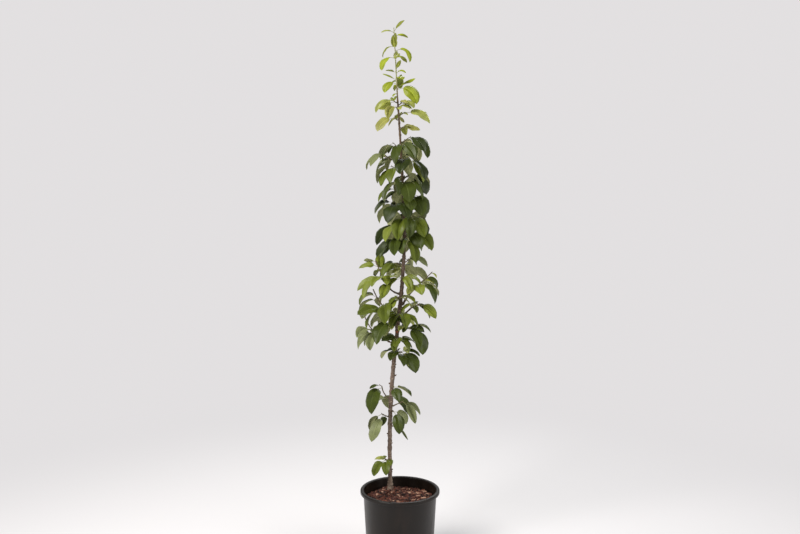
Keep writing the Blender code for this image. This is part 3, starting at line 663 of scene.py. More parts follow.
# %% Spurs given one by one
# A spur sits on the trunk, on its tip or on a bough's tip, and is measured as a bough is. Each leaf
# is (share along the stem, heading, size) and, where it stands out, (lift, droop, roll) as well. A
# plain count of leaves stands for a fan of them
Spur = namedtuple("Spur", "name zone seat height heading length rise turn radius leaves")
SPURS = [
    Spur("leader", "leader", "tip", 1.490, 180, 0.230, (87, 87), 0, 0.0024, (
        (1.0, 350, 0.72, 58, 30, 0), (0.98, 190, 0.68, 42, -40, 0), (0.94, 10, 0.70, 25, -20, 0),
        (0.72, 250, 0.74, 80, 56, 20), (0.78, 175, 0.95, 35, -92, 0), (0.72, 350, 1.15, 45, -95, -10),
        (0.61, 190, 1.20, 35, -98, 10), (0.44, 320, 0.66, 84, 66, 0), (0.41, 160, 0.60, 20, 10, -16),
        (0.30, 175, 0.80, 22, 22, -16), (0.20, 350, 0.95, 10, 28, 16), (0.24, 205, 1.05, 35, -90, -20),
        (0.16, 345, 1.50, 40, -88, 10), (0.14, 25, 1.15, 62, 94, 66), (0.09, 230, 0.45, 10, -60, 0))),
    Spur("crest_left_high", "crest", "trunk", 1.484, 180, 0.012, (30, 40), 0, 0.0015, (
        (0.9, 190, 1.05, 20, -75, 0), (0.5, 155, 0.90, 0, -28, 60), (0.7, 225, 0.45))),
    Spur("crest_right_high", "crest", "trunk", 1.476, 340, 0.010, (35, 45), 0, 0.0015, (
        (0.9, 335, 0.78, 45, -75, 0), (0.6, 30, 0.60))),
    Spur("crest_front", "crest", "trunk", 1.460, 240, 0.010, (30, 40), 0, 0.0015, (
        (0.9, 235, 0.95, 25, -88, 0), (0.5, 300, 0.45))),
    Spur("crest_right_low", "crest", "trunk", 1.444, 0, 0.014, (25, 30), 0, 0.0016, (
        (0.9, 358, 1.30, 22, -60, 10), (0.5, 320, 0.35))),
    Spur("crest_left_low", "crest", "trunk", 1.428, 185, 0.010, (30, 40), 0, 0.0016, (
        (0.9, 188, 1.10, 15, -72, 0), (0.5, 120, 0.75))),
    Spur("crest_right_foot", "crest", "trunk", 1.402, 10, 0.008, (10, 10), 0, 0.0016, (
        (0.9, 5, 0.80, 0, -15, 40), (0.5, 70, 0.80))),
    Spur("shoulder_left", "middle", "trunk", 1.290, 182, 0.068, (24, 18), 0, 0.0018, (
        (1.0, 184, 0.80, 15, -95, 0), (0.6, 215, 0.95), (0.35, 150, 1.00))),
    Spur("right_high", "middle", "bough_right_high", 0, 350, 0.078, (42, 44), 0, 0.0026, (
        (0.98, 335, 0.30), (0.42, 348, 0.80, 80, -85, 0), (0.35, 318, 1.15, 15, -82, 20),
        (0.50, 352, 1.00, 5, -88, 0), (0.10, 285, 0.85), (0.22, 250, 0.80), (0.45, 60, 0.95))),
    Spur("right_low", "middle", "bough_right_low", 0, 5, 0.026, (30, 12), 0, 0.0022, (
        (1.0, 5, 0.80, 8, -45, 45), (0.7, 335, 0.90, -5, -75, 20), (0.4, 290, 0.50), (0.6, 40, 1.00))),
    Spur("right_inner", "middle", "trunk", 0.752, 345, 0.036, (12, -5), 0, 0.0018, (
        (0.70, 318, 1.05, 20, -80, 0), (1.0, 345, 1.15, -30, -88, 10), (0.4, 20, 0.95))),
    Spur("right_foot", "middle", "trunk", 0.672, 350, 0.014, (20, 10), 0, 0.0017, (
        (0.9, 340, 0.95, 0, -88, 10), (0.6, 282, 0.80, 10, -75, 0))),
    Spur("left_high", "middle", "bough_left_high", 0, 168, 0.098, (58, 68), 0, 0.0022, (
        (1.0, 175, 0.45, 30, -20, 0), (0.55, 110, 0.80, 85, 60, 0), (0.40, 178, 1.12, 12, -55, 0),
        (0.36, 205, 1.12, 10, -72, 0), (0.30, 240, 0.85), (0.10, 262, 0.90), (0.45, 290, 0.70))),
    Spur("left_middle", "middle", "bough_left_middle", 0, 190, 0.070, (50, 68), 0, 0.0023, (
        (0.55, 185, 0.95, 60, -88, 0), (0.10, 280, 1.05), (0.05, 225, 1.15, 5, -28, -25),
        (0.15, 200, 1.05, -10, -85, 0), (0.30, 150, 0.95))),
    Spur("left_low", "middle", "bough_left_low", 0, 178, 0.086, (36, 74), 0, 0.0020, (
        (0.20, 182, 0.95, 30, -85, 0), (0.30, 215, 0.80), (0.15, 155, 0.85), (0.05, 235, 0.90))),
    Spur("left_inner", "middle", "trunk", 0.775, 220, 0.020, (20, 10), 0, 0.0017, (
        (0.9, 222, 1.20, 10, -92, 10), (0.5, 190, 0.70, -50, -85, 60))),
    Spur("front_middle", "middle", "trunk", 0.795, 285, 0.016, (25, 15), 0, 0.0017, (
        (0.9, 290, 0.95), (0.5, 330, 0.85), (0.7, 245, 0.80))),
    Spur("front_high", "middle", "trunk", 0.915, 262, 0.016, (30, 20), 0, 0.0017, (
        (0.9, 235, 0.80, 18, -35, 0), (0.6, 295, 0.90), (0.4, 200, 0.80))),
    Spur("front_fork", "middle", "trunk", 0.850, 235, 0.014, (25, 15), 0, 0.0017, (
        (0.9, 250, 0.85, 5, -80, 0), (0.5, 205, 0.80), (0.7, 325, 0.70))),
    Spur("front_low", "middle", "trunk", 0.715, 300, 0.012, (20, 10), 0, 0.0017, (
        (0.9, 310, 0.80), (0.5, 255, 0.75))),
    Spur("right_neck", "middle", "trunk", 0.970, 35, 0.018, (30, 30), 0, 0.0017, (
        (0.9, 352, 0.80, 35, -88, 0), (0.5, 70, 0.95))),
    Spur("back_high", "middle", "bough_back_high", 0, 88, 0.050, (48, 55), 0, 0.0020, 6),
    Spur("back_low", "middle", "bough_back_low", 0, 95, 0.050, (42, 50), 0, 0.0020, 6),
    Spur("back_neck", "middle", "trunk", 0.955, 140, 0.020, (30, 30), 0, 0.0017, 3),
    Spur("back_foot", "middle", "trunk", 0.665, 50, 0.020, (30, 20), 0, 0.0017, 3),
    Spur("lower_left_high", "lower", "trunk", 0.523, 185, 0.046, (38, 85), 0, 0.0026, (
        (0.90, 240, 1.22, 35, -92, 0), (1.0, 225, 0.55, 15, -30, 0))),
    Spur("lower_right_high", "lower", "trunk", 0.498, 350, 0.032, (28, 18), 0, 0.0024, (
        (1.0, 355, 0.85, 12, -78, 40), (0.85, 325, 0.85, -10, -82, 30))),
    Spur("lower_front", "lower", "trunk", 0.562, 290, 0.010, (20, 10), 0, 0.0017, (
        (0.9, 285, 0.75, 10, -70, 0), (0.5, 335, 0.75, 15, -70, 0))),
    Spur("lower_right_low", "lower", "trunk", 0.480, 305, 0.008, (20, 10), 0, 0.0017, (
        (0.9, 300, 0.85, 0, -85, 0), (0.5, 15, 0.70, 10, -80, 0))),
    Spur("lower_left_low", "lower", "trunk", 0.462, 200, 0.018, (20, 30), 0, 0.0017, (
        (0.9, 236, 1.05, -5, -92, 15), (0.6, 190, 0.75, -10, -85, 50), (0.4, 245, 0.50))),
    Spur("lower_lone", "lower", "trunk", 0.430, 350, 0.018, (5, 0), 0, 0.0016, (
        (1.0, 350, 0.62, -35, -80, 85),)),
    Spur("lower_back", "lower", "trunk", 0.515, 95, 0.016, (30, 20), 0, 0.0017, 3),
    Spur("foot_left", "foot", "trunk", 0.316, 205, 0.007, (20, 20), 0, 0.0017, (
        (0.9, 218, 0.92, 10, -85, 0), (0.6, 255, 0.85, 5, -85, 0), (0.3, 295, 0.62), (0.5, 120, 0.80))),
]
print(f"{len(SPURS)} spurs set by hand")

# %% The head's spurs
# Spurs of the dense head follow each other round the trunk by the golden angle
HEAD_SPURS = 15
HEAD_HEIGHTS = (1.030, 1.356)
HEAD_START = 235.0
SPUR_TURN = 137.5
HEAD_LENGTH = 0.019
HEAD_RISE = (30, 35)
HEAD_RADIUS = 0.0018
HEAD_LEAVES = 5
FAN = 165.0
FAN_STAGGER = 1.1


def head_spurs():
    """The spurs of the dense head, from the lowest to the highest."""
    low, high = HEAD_HEIGHTS
    spurs = []
    for k in range(HEAD_SPURS):
        name = f"head_{k + 1:02d}"
        height = low + (high - low) * k / (HEAD_SPURS - 1)
        heading = HEAD_START + SPUR_TURN * k
        shape = (HEAD_LENGTH, HEAD_RISE, 0, HEAD_RADIUS)
        spurs.append(Spur(name, "upper", "trunk", height, heading, *shape, HEAD_LEAVES))
    return spurs


def fanned(heading, count):
    """Leaves spread as a fan about a heading, the outer ones nearer the stem's foot."""
    rows = []
    for k in range(count):
        share = k / (count - 1) - 0.5
        rows.append((1.0 - FAN_STAGGER * abs(share), heading + FAN * share, 1.0))
    return sorted(rows)


print(f"{len(head_spurs())} spurs in the head")


# %% Directions and the trunk's curve
def between(rows, key):
    """Reads rows of (key, amount) at a key, straight between neighbouring rows."""
    for (low, before), (high, after) in zip(rows, rows[1:]):
        if key <= high:
            share = max(0.0, (key - low) / (high - low))
            return before + (after - before) * share
    return rows[-1][1]


def aim(heading, rise):
    """Unit vector of a heading and a rise."""
    turn, lift = math.radians(heading), math.radians(rise)
    level = math.cos(lift)
    return Vector((math.cos(turn) * level, math.sin(turn) * level, math.sin(lift)))


def smooth_step(start, leaving, end, arriving, t):
    """Point at a share t of a smooth way from start to end, with the speeds there given too."""
    return (
        start * (2 * t**3 - 3 * t**2 + 1)
        + leaving * (t**3 - 2 * t**2 + t)
        + end * (3 * t**2 - 2 * t**3)
        + arriving * (t**3 - t**2)
    )


def trunk_point(height):
    """Point of the trunk's centre line at a height, on a smooth curve through TRUNK_LINE."""
    line = [Vector(point) for point in TRUNK_LINE]
    i = next((i for i in range(len(line) - 2) if height <= line[i + 1].z), len(line) - 2)

    def slope(k):
        before, after = line[max(k - 1, 0)], line[min(k + 1, len(line) - 1)]
        return (after - before) / (after.z - before.z)

    span = line[i + 1].z - line[i].z
    share = (height - line[i].z) / span
    return smooth_step(line[i], slope(i) * span, line[i + 1], slope(i + 1) * span, share)


print("trunk's middle at", tuple(round(part, 3) for part in trunk_point(0.9)))

# %% Limbs and their seats
SEAT_STEP = 0.002
SEAT_SPAN = 0.004
LIMB_STEP = 0.014
TINY = 1e-9


def limb_path(start, first, heading, length, rise, turn):
    """Points of a limb: a short first step, then steps whose rise and heading change evenly."""
    points = [start, start + first * SEAT_STEP]
    steps = max(2, round(length / LIMB_STEP))
    for k in range(steps):
        share = (k + 0.5) / steps
        lift = rise[0] + (rise[1] - rise[0]) * share
        points.append(points[-1] + aim(heading + turn * share, lift) * (length / steps))
    return points


def along(points, share):
    """Point at a share of a path's length, and the direction there."""
    lengths = [(b - a).length for a, b in zip(points, points[1:])]
    left = share * sum(lengths)
    for a, b, length in zip(points, points[1:], lengths):
        if left <= length + TINY:
            return a + (b - a) * (left / length), (b - a).normalized()
        left -= length
    return points[-1], (points[-1] - points[-2]).normalized()


def tapered(points, radius):
    """A limb as (points, radii), its radius falling evenly from the first value to the second."""
    last = len(points) - 1
    return points, [radius[0] + (radius[1] - radius[0]) * k / last for k in range(last + 1)]


def trunk_seat(height, heading):
    """Start and first direction of a limb that sits on the trunk's side with its end square to it."""
    centre = trunk_point(height)
    axis = (trunk_point(height + SEAT_SPAN) - trunk_point(height - SEAT_SPAN)).normalized()
    out = aim(heading, 0)
    out = (out - axis * out.dot(axis)).normalized()
    return centre + out * (between(TRUNK_GIRTH, height) + GAP), out


def tip_seat(points):
    """Start and first direction of a limb that grows on from another one's tip."""
    out = (points[-1] - points[-2]).normalized()
    return points[-1] + out * GAP, out


print("a seat on the trunk:", tuple(round(part, 3) for part in trunk_seat(0.9, 0)[0]))

# %% The outline of a leaf
# The root is where the stalk starts, and the rest is measured as in a zone's habit
Leaf = namedtuple("Leaf", "root heading lift droop roll length curl")
# Shares of the blade's length, but for the stalk's radius, the fold and the step
STALK_SHARE = 0.30
STALK_RADIUS = 0.0007
WIDTH_SHARE = 0.61
THICK_SHARE = 0.016
BELLY = 0.42
BASE_POWER = 0.55
TIP_POWER = 0.76
FOLD = 24.0
LINE_STEP = 0.02


def blade_half_width(share, length):
    """Half the blade's width at a share of its length: rounded at the base, pointed at the tip."""
    if share <= 0.0:
        return STALK_RADIUS
    swell = (share / BELLY) ** BASE_POWER * ((1 - share) / (1 - BELLY)) ** TIP_POWER
    return max(STALK_RADIUS, swell * WIDTH_SHARE * length / 2)


def leaf_rise(leaf, share):
    """Rise of a leaf's line at a share of its length, the stalk included."""
    return leaf.lift + (leaf.droop - leaf.lift) * share**leaf.curl


def leaf_line(leaf, shares):
    """Point and direction of a leaf's line at each of some growing shares of its length."""
    whole = (1.0 + STALK_SHARE) * leaf.length
    point, done = leaf.root.copy(), 0.0
    for share in shares:
        while share - done > TINY:
            step = min(LINE_STEP, share - done)
            point = point + aim(leaf.heading, leaf_rise(leaf, done + step / 2)) * (step * whole)
            done += step
        yield point, aim(leaf.heading, leaf_rise(leaf, share))


def leaf_rings(leaf, stations, extra=0.0, stalk=True):
    """Four-point sections of a leaf, and its tip. A section is left edge, top, right edge, bottom."""
    blades = [-STALK_SHARE] if stalk else []
    blades += [0.0, *stations]
    shares = [(STALK_SHARE + blade) / (1.0 + STALK_SHARE) for blade in (*blades, 1.0)]
    *sections, (tip, tip_forward) = leaf_line(leaf, shares)
    side = aim(leaf.heading + 90, 0)
    rings = []
    for blade, (point, forward) in zip(blades, sections):
        twist = math.radians(leaf.roll) * min(1.0, 1.0 + blade / STALK_SHARE)
        roll = Matrix.Rotation(twist, 3, forward)
        half = blade_half_width(blade, leaf.length) + extra
        thick = (THICK_SHARE * leaf.length / 2 if blade > 0 else STALK_RADIUS) + extra
        fold = math.radians(FOLD) if blade > 0 else 0.0
        up = roll @ forward.cross(side)
        across = roll @ side * (half * math.cos(fold))
        middle = point + up * (half * math.sin(fold))
        rings.append((middle + across, point + up * thick, middle - across, point - up * thick))
    return rings, tip + tip_forward * extra


print(f"widest at {BELLY} of the blade, {2000 * blade_half_width(BELLY, 0.07):.0f} mm on a 70 mm one")


# %% Skins over sections
def loft(rings, tip=None):
    """Vertices and faces of a closed skin over sections of equal count, ending in a point or a cap."""
    count = len(rings[0])
    points = [corner for ring in rings for corner in ring]
    faces = [tuple(range(count - 1, -1, -1))]
    for base in range(0, count * (len(rings) - 1), count):
        for k in range(count):
            n = (k + 1) % count
            faces.append((base + k, base + n, base + count + n))
            faces.append((base + k, base + count + n, base + count + k))
    end = count * (len(rings) - 1)
    if tip is None:
        faces.append(tuple(range(end, end + count)))
    else:
        points.append(tip)
        faces += [(end + k, end + (k + 1) % count, len(points) - 1) for k in range(count)]
    return points, faces


def limb_rings(limb, extra=0.0, count=6):
    """Round sections of a limb, for the tests that keep leaves clear of it."""
    points, radii = limb
    rings = []
    for k, point in enumerate(points):
        forward = (points[min(k + 1, len(points) - 1)] - points[max(k - 1, 0)]).normalized()
        side = forward.orthogonal().normalized()
        up = forward.cross(side)
        ring = []
        for j in range(count):
            angle = -2 * math.pi * j / count
            ring.append(point + (side * math.cos(angle) + up * math.sin(angle)) * (radii[k] + extra))
        rings.append(ring)
    return rings


print("skins ready: loft and limb_rings")

# %% Room for a leaf
CROWN_TOP = 1.752
CROWN_FOOT = SOIL_TOP + MOUND_HEIGHT


def extent(points):
    """Lowest and highest corner of the box round some points."""
    return [[pick(point[i] for point in points) for i in range(3)] for pick in (min, max)]


class Space:
    """What already stands in the crown, so that a new leaf can be tested against it."""

    def __init__(self):
        self.taken = []

    def add(self, owner, skin):
        self.taken.append((owner, *extent(skin[0]), BVHTree.FromPolygons(*skin)))

    def clear(self, skin, owner=None, own=False):
        """True where a skin crosses nothing: only its owner's pieces if own is set, else all others."""
        low, high = extent(skin[0])
        tree = None
        for other, other_low, other_high, other_tree in self.taken:
            if (other == owner) != own:
                continue
            if any(high[i] < other_low[i] or low[i] > other_high[i] for i in range(3)):
                continue
            tree = tree or BVHTree.FromPolygons(*skin)
            if tree.overlap(other_tree):
                return False
        return True


def in_crown(points, reach):
    """True where every point keeps within reach of the trunk's line and above the potting mix."""
    for point in points:
        if point.z > CROWN_TOP or point.z < CROWN_FOOT:
            return False
        centre = trunk_point(min(point.z, TRUNK_LINE[-1][2]))
        if math.hypot(point.x - centre.x, point.y - centre.y) > reach:
            return False
    return True


print(f"crown from {CROWN_FOOT:.3f} to {CROWN_TOP} m")

# %% Grow a side twig
LEAF_ROOT_SHARE = 0.96
CLEARANCE = 0.0007
TWIG_LENGTH = 0.012
TWIG_SPREAD = 0.2
TWIG_RADIUS = 0.0013
TWIG_TIP_RADIUS = 0.0011
TWIG_RISE = (40.0, 20.0)


def grow_twig(space, owner, stem, row, rng):
    """A short side twig towards the leaf of its row, or None where it would touch a neighbour."""
    start, _ = along(stem[0], row[0] * LEAF_ROOT_SHARE)
    step = TWIG_LENGTH * rng.uniform(1 - TWIG_SPREAD, 1 + TWIG_SPREAD) / len(TWIG_RISE)
    path = [start]
    for rise in TWIG_RISE:
        path.append(path[-1] + aim(row[1], rise) * step)
    twig = tapered(path, (TWIG_RADIUS, TWIG_TIP_RADIUS))
    skin = loft(limb_rings(twig, CLEARANCE))
    if not space.clear(skin, owner):
        return None
    space.add(owner, skin)
    return twig


print(f"side twigs {1000 * TWIG_LENGTH:.0f} mm long")

# %% Grow a leaf
# Spreads are (at the first try, added by the last), in degrees
TRIES = 26
BLADE_STATIONS = (0.13, 0.46, 0.80)
TURN_SPREAD = (4.0, 50.0)
SWAY_SPREAD = (5.0, 22.0)
SET_ROLL_SPREAD = 6.0
LENGTH_SPREAD = 0.06
LENGTH_LOSS = 0.2


def grow_leaf(space, owner, root, row, habit, rng):
    """A leaf near the place that its row asks for, turned until it clears its neighbours, or None."""
    heading, size = row[1], row[2]
    lift, droop, roll = row[3:] or (habit.lift, habit.droop, 0.0)
    roll_spread = SET_ROLL_SPREAD if row[3:] else habit.roll
    for attempt in range(TRIES):
        loose = attempt / TRIES
        turn = rng.uniform(-1, 1) * (TURN_SPREAD[0] + TURN_SPREAD[1] * loose)
        sway = rng.uniform(-1, 1) * (SWAY_SPREAD[0] + SWAY_SPREAD[1] * loose)
        spin = rng.uniform(-1, 1) * roll_spread * (1 + loose)
        length = habit.length * size * (1 + rng.uniform(-1, 1) * LENGTH_SPREAD)
        length *= 1 - LENGTH_LOSS * loose
        shape = (lift + sway, droop + sway / 2, roll + spin, length, habit.curl)
        leaf = Leaf(root, heading + turn, *shape)
        whole = loft(*leaf_rings(leaf, BLADE_STATIONS, CLEARANCE))
        if not in_crown(whole[0], habit.reach):
            continue
        blade = loft(*leaf_rings(leaf, BLADE_STATIONS, CLEARANCE, stalk=False))
        if space.clear(whole, owner) and space.clear(blade, owner, own=True):
            space.add(owner, whole)
            return leaf
    return None


print("a leaf has", TRIES, "tries")

# %% Grow a mass
SEED = 11
TWIG_EVERY = 3
TWIG_STEM_LENGTH = 0.018
Mass = namedtuple("Mass", "name zone stem twigs leaves")


def grow_mass(space, spur, stem):
    """The mass of a spur: leaves on its stem or, where a side twig finds room, on that."""
    habit = HABITS[spur.zone]
    twiggy = habit.twigs and spur.length >= TWIG_STEM_LENGTH
    rng = random.Random(f"{SEED} {spur.name}")
    rows = spur.leaves if isinstance(spur.leaves, tuple) else fanned(spur.heading, spur.leaves)
    mass = Mass(spur.name, spur.zone, stem, [], [])
    for k, row in enumerate(rows):
        twig = None
        if twiggy and k % TWIG_EVERY == 1:
            twig = grow_twig(space, spur.name, stem, row, rng)
        path, share = (twig[0], 1.0) if twig else (stem[0], row[0])
        root, _ = along(path, LEAF_ROOT_SHARE * share)
        leaf = grow_leaf(space, spur.name, root, row, habit, rng)
        if leaf:
            mass.leaves.append(leaf)
        if leaf and twig:
            mass.twigs.append(twig)
    return mass


print("every spur has a seed of its own")

# %% Grow the tree
TRUNK_STEP = 0.034
FOOT_STEPS = (0.003, 0.012)
FLARE_GAIN = 0.0048
FLARE_FALL = 0.010
STEM_TIP_RADIUS = 0.0012


def grow_trunk():
    """The trunk as (points, radii), upright for its first millimetres so that its cut is level."""
    foot, top = TRUNK_LINE[0][2], TRUNK_LINE[-1][2]
    heights = [foot + step for step in FOOT_STEPS]
    steps = round((top - heights[-1]) / TRUNK_STEP)
    heights += [heights[-1] + (top - heights[-1]) * (k + 1) / steps for k in range(steps)]
    points = [trunk_point(height) for height in heights]
    points.insert(0, Vector((points[0].x, points[0].y, foot)))
    flares = [FLARE_GAIN * math.exp((foot - point.z) / FLARE_FALL) for point in points]
    return points, [between(TRUNK_GIRTH, point.z) + flare for point, flare in zip(points, flares)]


def grow_tree(space):
    """The limbs and the masses of the tree, as centre lines, radii and leaves."""
    limbs = {"trunk": grow_trunk()}
    for bough in BOUGHS:
        start, out = trunk_seat(bough.height, bough.heading)
        path = limb_path(start, out, bough.heading, bough.length, bough.rise, bough.turn)
        limbs[bough.name] = tapered(path, bough.radius)
    for name, limb in limbs.items():
        space.add(name, loft(limb_rings(limb, CLEARANCE)))
    spurs, stems = SPURS + head_spurs(), []
    for spur in spurs:
        if spur.seat == "trunk":
            start, out = trunk_seat(spur.height, spur.heading)
        else:
            start, out = tip_seat(limbs["trunk" if spur.seat == "tip" else spur.seat][0])
        path = limb_path(start, out, spur.heading, spur.length, spur.rise, spur.turn)
        stems.append(tapered(path, (spur.radius, STEM_TIP_RADIUS)))
        space.add(spur.name, loft(limb_rings(stems[-1], CLEARANCE)))
    return limbs, [grow_mass(space, spur, stem) for spur, stem in zip(spurs, stems)]


space = Space()
limbs, masses = grow_tree(space)
print(f"{len(masses)} masses, {sum(len(mass.leaves) for mass in masses)} leaves")

# %% [markdown]
# ### Small young leaves
#
# Each spur also unfolds some smaller leaves between the others, finer than the plain model holds. They
# keep to the same reach, and to the room that the other leaves left.

# %% Unfold the small leaves
# Smaller leaves of a spur, by zone: how many, their least and greatest size, and where they start
YOUNG = {
    "leader": (9, 0.50, 1.00, 0.10),
    "crest": (1, 0.45, 0.80, 0.35),
    "upper": (1, 0.30, 0.50, 0.60),
    "middle": (2, 0.45, 0.85, 0.25),
    "foot": (2, 0.45, 0.65, 0.40),
}
MORE_YOUNG = {"right_inner": 5, "right_foot": 2, "front_low": 3, "left_inner": 3, "left_low": 2}
YOUNG_LIFT = 12.0
YOUNG_DROOP = 0.8
YOUNG_TURN = 150
TESTED_STATIONS = (0.5, 0.8, 1.0)


def inside_box(points):
    """True where every point keeps inside the plain model's box."""
    low, high = cad_box
    return all(low[i] <= point[i] <= high[i] for point in points for i in range(3))


for mass in masses:
    if mass.zone not in YOUNG:
        continue
    habit = HABITS[mass.zone]
    count, smallest, largest, first = YOUNG[mass.zone]
    count += MORE_YOUNG.get(mass.name, 0)
    own_rng = random.Random(f"young {SEED} {mass.name}")
    stems = [mass.stem, *mass.twigs]
    for k in range(count):
        root, forward = along(stems[k % len(stems)][0], LEAF_ROOT_SHARE * own_rng.uniform(first, 1.0))
        heading = math.degrees(math.atan2(forward.y, forward.x))
        heading += own_rng.uniform(-YOUNG_TURN, YOUNG_TURN)
        size = own_rng.uniform(smallest, largest)
        row = (1.0, heading, size, habit.lift + YOUNG_LIFT, habit.droop * YOUNG_DROOP, 0)
        leaf = grow_leaf(space, mass.name, root, row, habit, own_rng)
        if leaf and inside_box([point for point, _ in leaf_line(leaf, TESTED_STATIONS)]):
            mass.leaves.append(leaf)
print(f"{sum(len(mass.leaves) for mass in masses)} leaves with the young ones")

# %% [markdown]
# ## Trunk and boughs
#
# A young trunk isn't a plain pipe. It swells a little at each old leaf scar, carries stubs where side
# shoots were pruned, and its boughs leave from thicker collars. All limbs are drawn as round bevelled
# curves that start inside each other, and a voxel remesh melts them into one skin. Then the skin's
# points move in and out along their normals by noise, stretched along the limb as bark is.


# %% Finer and deeper limbs
COLLAR_FALL = 0.006


def refined(limb, step):
    """The same limb with its points close together, on a smooth curve through its own points."""
    points, radii = limb
    last = len(points) - 1
    slopes = [(points[min(k + 1, last)] - points[max(k - 1, 0)]).normalized() for k in range(last + 1)]
    fine_points, fine_radii = [], []
    for k in range(last):
        length = (points[k + 1] - points[k]).length
        ends = points[k], slopes[k] * length, points[k + 1], slopes[k + 1] * length
        count = max(1, round(length / step))
        for j in range(count):
            fine_points.append(smooth_step(*ends, j / count))
            fine_radii.append(radii[k] + (radii[k + 1] - radii[k]) * (j / count))
    return fine_points + [points[last]], fine_radii + [radii[last]]


def travelled(points):
    """How far along a line each of its points lies."""
    return accumulate(((b - a).length for a, b in zip(points, points[1:])), initial=0.0)


def rooted(limb, depth, collar):
    """A limb that starts deeper inside what carries it, with a collar that fades away from there."""
    points, radii = limb
    start = points[0] - (points[1] - points[0]).normalized() * depth
    swollen = [
        radius * (1 + collar * math.exp(-way / COLLAR_FALL)) for radius, way in zip(radii, travelled(points))]
    return [start, *points], [swollen[0], *swollen]


print("a line's points lie at", [round(way, 3) for way in travelled([Vector((k, 0, 0)) for k in range(3)])])

# %% Draw a limb as a curve
BEVEL_STEPS = 4


def limb_curve(name, limb):
    """A round bevelled curve along a limb, made a mesh with closed ends."""
    points, radii = limb
    curve = bpy.data.curves.new(name, "CURVE")
    curve.dimensions = "3D"
    curve.bevel_depth = 1.0
    curve.bevel_resolution = BEVEL_STEPS
    curve.use_fill_caps = True
    spline = curve.splines.new("POLY")
    spline.points.add(len(points) - 1)
    for spot, point, radius in zip(spline.points, points, radii):
        spot.co = (*point, 1.0)
        spot.radius = radius
    obj = bpy.data.objects.new(name, curve)
    bpy.context.collection.objects.link(obj)
    select_only(obj)
    bpy.ops.object.convert(target="MESH")
    return bpy.context.object


print(f"a limb has {4 + 2 * BEVEL_STEPS} sides")

# %% Swell a limb at its leaf scars
NODE_SPACING = 0.027
NODE_UNEVEN = 0.30
NODE_SWELL = 0.22
NODE_LENGTH = 0.0040


def with_scars(limb, spacing):
    """A limb that swells at its old leaf scars."""
    points, radii = limb
    swollen = []
    for radius, way in zip(radii, travelled(points)):
        away = (way / spacing + NODE_UNEVEN * math.sin(way / NODE_SPACING * 2)) % 1.0
        away = min(away, 1.0 - away) * spacing
        swollen.append(radius * (1 + NODE_SWELL * math.exp(-((away / NODE_LENGTH) ** 2))))
    return points, swollen


print(f"leaf scars {1000 * NODE_SPACING:.0f} mm apart")

# %% Draw trunk and boughs
LIMB_DRAW_STEP = 0.002
ROOT_DEPTH = 0.004
BOUGH_COLLAR = 0.45

pieces = []
trunk_line, trunk_radii = refined(limbs["trunk"], LIMB_DRAW_STEP)
trunk_line.insert(0, trunk_line[0] - Vector((0, 0, ROOT_DEPTH)))
trunk_radii.insert(0, trunk_radii[0])
pieces.append(limb_curve("trunk_skin", with_scars((trunk_line, trunk_radii), NODE_SPACING)))
for bough in BOUGHS:
    depth = between(TRUNK_GIRTH, bough.height)
    limb = rooted(refined(limbs[bough.name], LIMB_DRAW_STEP), depth, BOUGH_COLLAR)
    pieces.append(limb_curve("bough_skin", with_scars(limb, NODE_SPACING / 2)))
print(f"{len(pieces)} limbs")

# %% Draw the stubs
# Stubs on the bare trunk: height, heading, length and radius
STUBS = (
    (0.599, 352, 0.0055, 0.0027),
    (0.571, 195, 0.0040, 0.0028),
    (0.634, 30, 0.0030, 0.0022),
    (0.405, 195, 0.0030, 0.0022),
    (0.372, 20, 0.0026, 0.0020),
    (0.338, 260, 0.0028, 0.0020),
    (0.286, 330, 0.0030, 0.0024),
)
STUB_RISE = Vector((0, 0, 0.6))
STUB_TAPER = (1.3, 1.0, 0.8)

for height, heading, length, radius in STUBS:
    start, out = trunk_seat(height, heading)
    path = [start - out * radius * 2, start + out * length / 2, start + (out + STUB_RISE) * length]
    pieces.append(limb_curve("stub", (path, [radius * share for share in STUB_TAPER])))
print(f"{len(STUBS)} stubs")

# %% Melt the limbs into one skin
SKIN_VOXEL = 0.0010
SMOOTH_SHARE = 0.5
SMOOTH_ROUNDS = 3

select_only(*pieces)
bpy.ops.object.join()
wood = bpy.context.object
wood.name = "trunk_and_boughs"
wood.data.name = "trunk_and_boughs"
remesh = wood.modifiers.new("melt", "REMESH")
remesh.mode = "VOXEL"
remesh.voxel_size = SKIN_VOXEL
soften = wood.modifiers.new("soften", "SMOOTH")
soften.factor = SMOOTH_SHARE
soften.iterations = SMOOTH_ROUNDS
apply_modifiers(wood)
print(f"one skin of {len(wood.data.polygons)} faces")

# %% Raise the flare's lobes and the bark
RELIEF_DEPTH = 0.00075
# How many fibres and knobs fit in a metre across the limb and along it, and their share of the relief
FIBRES = (520, 90, 0.6)
KNOBS = (140, 120, 0.9)
KNOBS_SHIFT = Vector((7, 3, 1))
FLARE_LOBES = 3
FLARE_LOBE_DEPTH = 0.16
FLARE_REACH = 0.03
FLARE_TOP = 0.30

